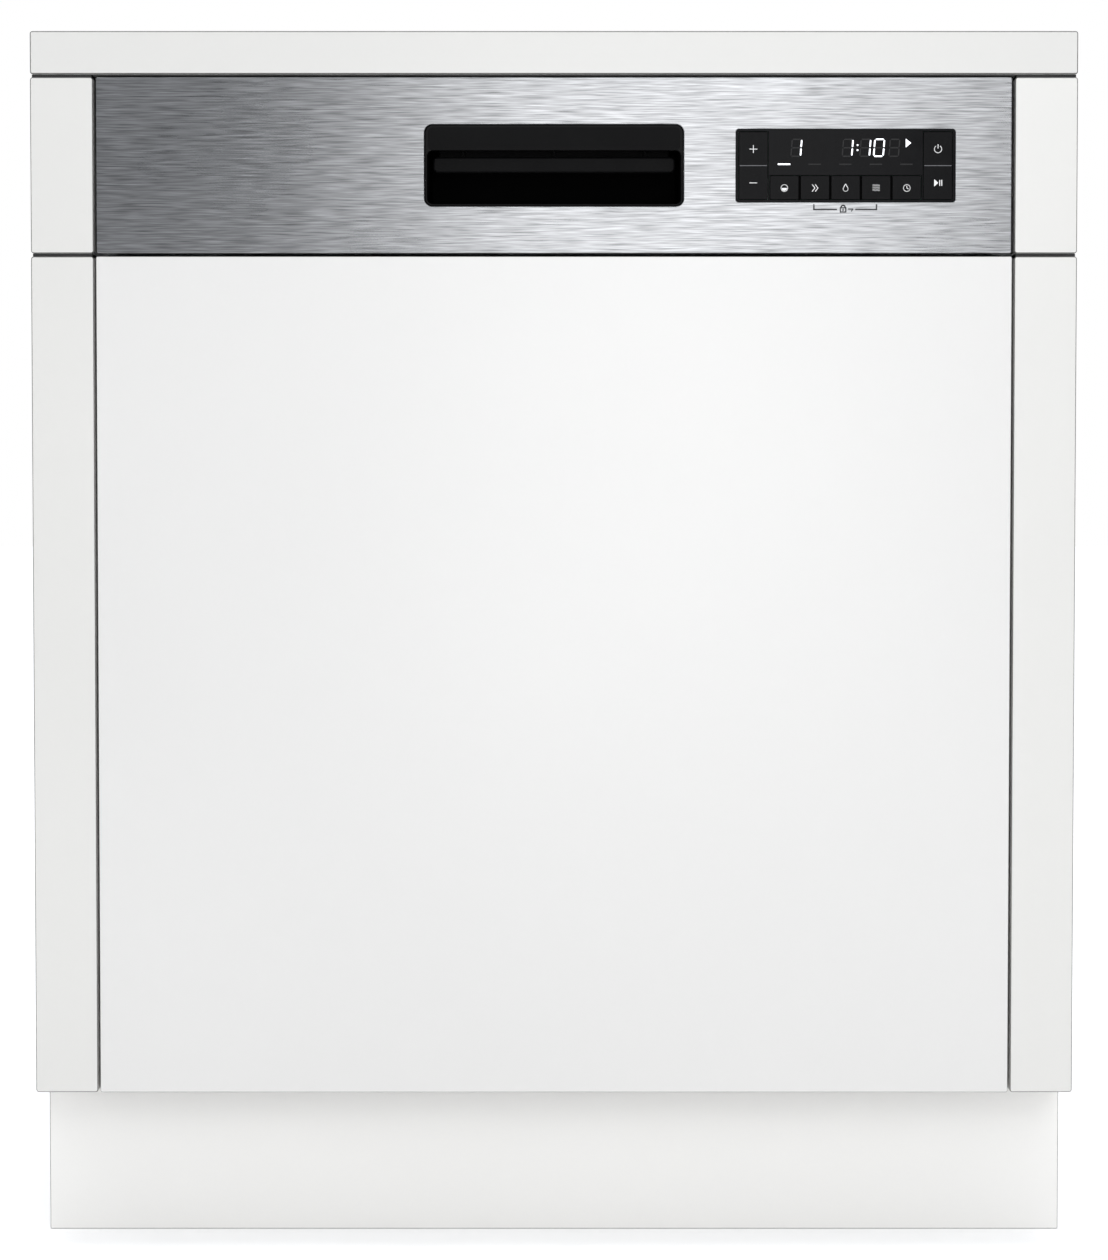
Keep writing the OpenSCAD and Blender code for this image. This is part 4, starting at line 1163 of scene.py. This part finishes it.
def make_arm(name, node, thick, nozzles):
    """Spray arm: a flat wing on each side of a hub, with raised nozzles."""
    low, high = BOX[node]
    length, z = high.x, low.z
    cx, cy, _ = middle(node)

    def ring(x):
        """Section of the wing at a distance from the hub, narrow and rounded off at its tip."""
        share = abs(x) / length
        out = math.copysign(1, x) if x else -1
        end = max(0.0, 1 - ((share - 0.93) / 0.07) ** 2) if share > 0.93 else 1.0
        half = (21.5 - 6 * share) * math.sqrt(max(end, 0.02))
        tall = thick * (1 - 0.25 * share) * math.sqrt(max(end, 0.05))
        points = []
        for c, s in circle(0, 0, 1, 20):
            y = half * abs(c) ** 0.8 * (1 if c > 0 else -1) + 4 * share * out
            up = tall / 2 * abs(s) ** 0.7 * (1 if s > 0 else -1)
            points.append(Vector((cx + x, cy + y, z + thick * (0.5 - 0.06 * share) + up)))
        return points

    tips = [0.25, 0.5, 0.75, 0.93, 0.96, 0.985, 1]
    stations = [-s for s in reversed(tips)] + [0] + tips
    arm = Part().loft([ring(length * s * 0.999) for s in stations])
    top = high.z - z
    hub = [(15, 0.3), (30, 0.3), (35, 2), (35.5, thick - 2.5), (30, thick), (26, thick + 0.5),
           (25.5, top - 0.6), (24.5, top), (10.7, top), (10.7, 6), (15, 6)]
    arm.turned(hub, (cx, cy, z), Z, 64, closed=True)
    jet = [(1.2, -1), (3.4, -1), (2.8, 1.1), (1.6, 1.3), (1.2, 0.6)]
    for i in range(nozzles):
        reach = length * (0.24 + 0.66 * i / (nozzles - 1)) * (1 if i % 2 else -1)
        for side in (1, -1):
            y = cy + (5 if i % 2 else -4) * side
            top = z + thick * (0.96 - 0.16 * abs(reach) / length)
            arm.turned(jet, (cx + side * reach, y, top), Z, 16, closed=True)
    for k in range(8):
        turn = Matrix.Translation((cx, cy, z)) @ Matrix.Rotation(k * math.pi / 4, 4, "Z")
        arm.block((25, -1.2, thick - 1), (32, 1.2, thick + 1.6), 0.5, turn=turn)
    arm.link(name, "grey", node, node, smooth=50)


def make_filter():
    low, high = BOX["filter_plate"]
    at, r = middle("filter_plate"), (high.x - low.x) / 2 - 0.2
    cup_low, cup_high = BOX["filter_cup"]
    cup, cup_r = middle("filter_cup"), (cup_high.x - cup_low.x) / 2 + 0.6
    holes = [circle(cup.x, cup.y, cup_r, 64), circle(0, at.y, 16.4)]
    pitch = 9
    rows = int(r / pitch) + 1
    for i in range(-rows, rows + 1):
        for k in range(-rows, rows + 1):
            dx, dy = (i + 0.5 * (k % 2)) * pitch, k * pitch * 0.87
            x, y = at.x + dx, at.y + dy
            clear_of_cup = math.hypot(x - cup.x, y - cup.y) > cup_r + 6
            if math.hypot(dx, dy) < r - 8 and clear_of_cup and math.hypot(x, dy) > 23:
                holes.append(circle(x, y, 2.6, 8))
    plate = Part().plate([circle(at.x, at.y, r, 96), *holes], -high.z, -low.z, 0.4, 1, LEVEL)
    plate.link("strainer_plate", "steel", "housing", "filter_plate", smooth=50)

    r, z0, z1 = 35.5, cup_low.z + 3, cup_high.z - 12
    around_cup = circle(cup.x, cup.y, r, 90)[::2]
    gauze = Part().wires([[(x, y, z) for z in steps(z0, z1, 9)] for x, y in around_cup], 0.35, 0)
    rings = [[(x, y, z) for x, y in circle(cup.x, cup.y, r, 40)] for z in steps(z0, z1, 26)]
    gauze.wires(rings, 0.35, 0, closed=True).link("filter_gauze", "steel", "filter_cup")


def make_water():
    make_arm("lower_arm", "lower_spray_arm", 12.5, 7)
    make_arm("upper_arm", "upper_spray_arm", 9.5, 6)
    make_filter()
    dress("filter_cup", "grey")
    dress("pump_rotor", "rotor")
    for node in ("sump", "pump_motor", "drain_pump"):
        dress(node, "dark")
    for node in ("pump_housing", "softener_tank", "salt_cap", "inlet_chamber", "inlet_valve", "feed_pipe",
                 "upper_feed_tube"):
        dress(node, "pale")
    make_shower()
    make_inlet_thread()


def make_shower():
    """Perforated rose under the ceiling outlet."""
    low, high = BOX["feed_pipe"]
    x, y, z = middle("feed_pipe").x, low.y + 20, high.z - 27
    rose = Part().turned([(0, 0), (17, 0), (19.6, 1.4), (19.6, 3), (0, 3)], (x, y, z), Z)
    for r, count in ((5, 6), (10, 10), (15, 16)):
        for px, py in circle(x, y, r, count):
            rose.turned([(0, -0.8), (0.9, -0.8), (1.3, 0.4), (0, 0.4)], (px, py, z), Z, 8)
    rose.link("ceiling_rose", "grey", "housing", slot="pale_plastic")


def helix(x, z, r, y0, pitch, turns, n):
    """Points of a coil along +Y, n to a turn. It starts at its side on +X."""
    angles = [2 * math.pi * i / n for i in range(turns * n + 1)]
    return [(x + r * math.cos(a), y0 + pitch * a / (2 * math.pi), z + r * math.sin(a)) for a in angles]


def make_inlet_thread():
    back = BOX["inlet_valve"][1].y
    pitch, start, end = 1.8, back - 17, back - 1.5
    path = helix(middle("inlet_valve").x, VALVE_Z, 12.9, start, pitch, int((end - start) / pitch), 24)
    Part().wires([path], 0.55, 0).link("inlet_thread", "pale", "housing")


# ---- frame, base and springs

def make_springs():
    low, high = BOX["balance_springs"]
    r, z = (high.z - low.z) / 2, middle("balance_springs").z
    wire_r = 0.75
    coil_r = r - wire_r
    y0, y1 = low.y + 40, high.y - 28
    turns = round((y1 - y0) / 2.3)
    springs = Part()
    for x in (r - high.x, high.x - r):
        coil = [(x + pz, y, z + px) for px, y, pz in helix(0, 0, coil_r, y0, (y1 - y0) / turns, turns, 12)]
        hook_a = bent([(x, low.y + 1, z), (x, y0 - 6, z), (x, y0 - 1, z + coil_r), coil[0]], 2)
        hook_b = bent([coil[-1], (x, y1 + 1, z + coil_r), (x, y1 + 6, z), (x, high.y - 1, z)], 2)
        springs.wires([hook_a[:-1] + coil + hook_b[1:]], wire_r, 1)
    springs.link("spring_coils", "spring", "housing", "balance_springs", smooth=60)


def make_base():
    dress("base_tray", "dark", 0.6)
    dress("levelling_feet", "dark")
    for node in ("hinge_brackets", "frame_struts", "door_strike", "rack_rails"):
        dress(node, "zinc", 0.3)
    low, high = BOX["base_tray"]
    ports = [BOX["inlet_valve"], BOX["drain_pump"]]
    bottom, top = low.z + 10, high.z - 5
    ribs = Part()
    for x in steps(low.x + 31, high.x - 31, 11):
        if all(x < a.x - 8 or x > b.x + 8 for a, b in ports):
            ribs.block((x - 1.2, high.y - 1, bottom), (x + 1.2, high.y + 3, top), 0.8)
    for y in steps(low.y + 50, high.y - 50, 9):
        ribs.pair((high.x - 1.5, y - 1.2, bottom), (high.x + 1.5, y + 1.2, top), 0.8)
    for z, reach in ((high.z - 3, 3.4), (low.z + 8, 2.4)):
        ribs.block((low.x + 14, high.y - 1, z - 2.5), (high.x - 14, high.y + reach, z + 2.5), 1)
    ribs.link("tray_ribs", "dark", "housing")


# ---- camera, lights and floor (in metres)

def add_object(name, data, at=(0, 0, 0), aim=None):
    """Puts a light or camera in the scene, looking along a direction."""
    made = bpy.data.objects.new(name, data)
    bpy.context.scene.collection.objects.link(made)
    made.location = at
    if aim:
        made.rotation_euler = aim.to_track_quat("-Z", "Y").to_euler()
    return made


def make_camera():
    data = bpy.data.cameras.new("camera")
    data.lens = 89.86
    data.clip_end = 50
    distance, height, tilt = 2.064, 0.4875, 2.177
    camera = add_object("camera", data, (0, FRONT * MM - distance, height))
    camera.rotation_euler = (math.radians(90 - tilt), 0, 0)
    bpy.context.scene.camera = camera


def area_light(name, at, target, size, power):
    data = bpy.data.lights.new(name, "AREA")
    data.shape = "RECTANGLE"
    data.size, data.size_y = size
    data.energy = power
    add_object(name, data, at, Vector(target) - Vector(at))


def sun_light(name, source, strength, spread):
    data = bpy.data.lights.new(name, "SUN")
    data.energy = strength
    data.angle = math.radians(spread)
    add_object(name, data, aim=-Vector(source))


def make_lights():
    sun_light("ceiling", (0.05, -0.12, 1), 1.1, 80)
    sun_light("overhead", (0, 0.05, 1), 0.9, 30)
    area_light("key", (0.2, -3.6, 1.05), (0.1, 0, 0.6), (0.8, 1.9), 24.5)
    area_light("upper_key", (1.0, -3.5, 2.2), (0.2, 0, 0.6), (0.9, 1.6), 19)
    area_light("left_fill", (-2.6, -2.6, 0.9), (0, 0, 0.3), (1.6, 1.8), 6)
    area_light("right_fill", (2.6, -2.6, 0.9), (0, 0, 0.3), (1.6, 1.8), 2.5)
    area_light("rear", (-1.2, 3.2, 2.0), (0, 0, 0.4), (2.4, 2.0), 12)


def make_world():
    """A dim bluish room for the light, and plain white where the camera looks past the object."""
    bpy.context.scene.view_settings.view_transform = "Standard"
    world = bpy.data.worlds.new("studio")
    bpy.context.scene.world = world
    world.use_nodes = True
    nodes, links = world.node_tree.nodes, world.node_tree.links
    room = nodes["Background"]
    plain = nodes.new("ShaderNodeBackground")
    for backdrop, colour, strength in ((room, (0.91, 0.96, 1.05, 1), 0.31), (plain, (1, 1, 1, 1), 1.0)):
        backdrop.inputs["Color"].default_value = colour
        backdrop.inputs["Strength"].default_value = strength
    mix = nodes.new("ShaderNodeMixShader")
    links.new(nodes.new("ShaderNodeLightPath").outputs["Is Camera Ray"], mix.inputs["Fac"])
    links.new(room.outputs["Background"], mix.inputs[1])
    links.new(plain.outputs["Background"], mix.inputs[2])
    links.new(mix.outputs["Shader"], nodes["World Output"].inputs["Surface"])


def make_floor():
    size = 40 / MM
    ground = Part()
    corners = (-size, -size, 0), (size, -size, 0), (size, size, 0), (-size, size, 0)
    ground.bm.faces.new([ground.bm.verts.new(c) for c in corners])
    mesh = ground.mesh()
    mesh.transform(Matrix.Scale(MM, 4))
    paper = material("floor_paper", (0.93, 0.93, 0.93), 0.9,
                     Emission_Strength=0.26, Emission_Color=(1, 1, 1, 1))
    grain = texture(paper, "Noise", 40, Detail=3)
    colour_by(paper, grain, (0.92, 0.92, 0.92), (0.94, 0.94, 0.94))
    mesh.materials.append(paper)
    add_object("floor", mesh)


# ---- the build

make_camera()
make_world()
make_lights()
make_floor()
make_boards()
make_gap_shadow_strips()
make_fascia()
make_grip()
make_lever()
make_panel()
make_key_marks()
make_display()
make_lock_mark()
make_door_inside()
make_dispenser()
make_tub()
make_jacket()
make_lower_rack()
make_cutlery_basket()
make_upper_rack()
make_cup_shelf()
make_water()
make_springs()
make_base()
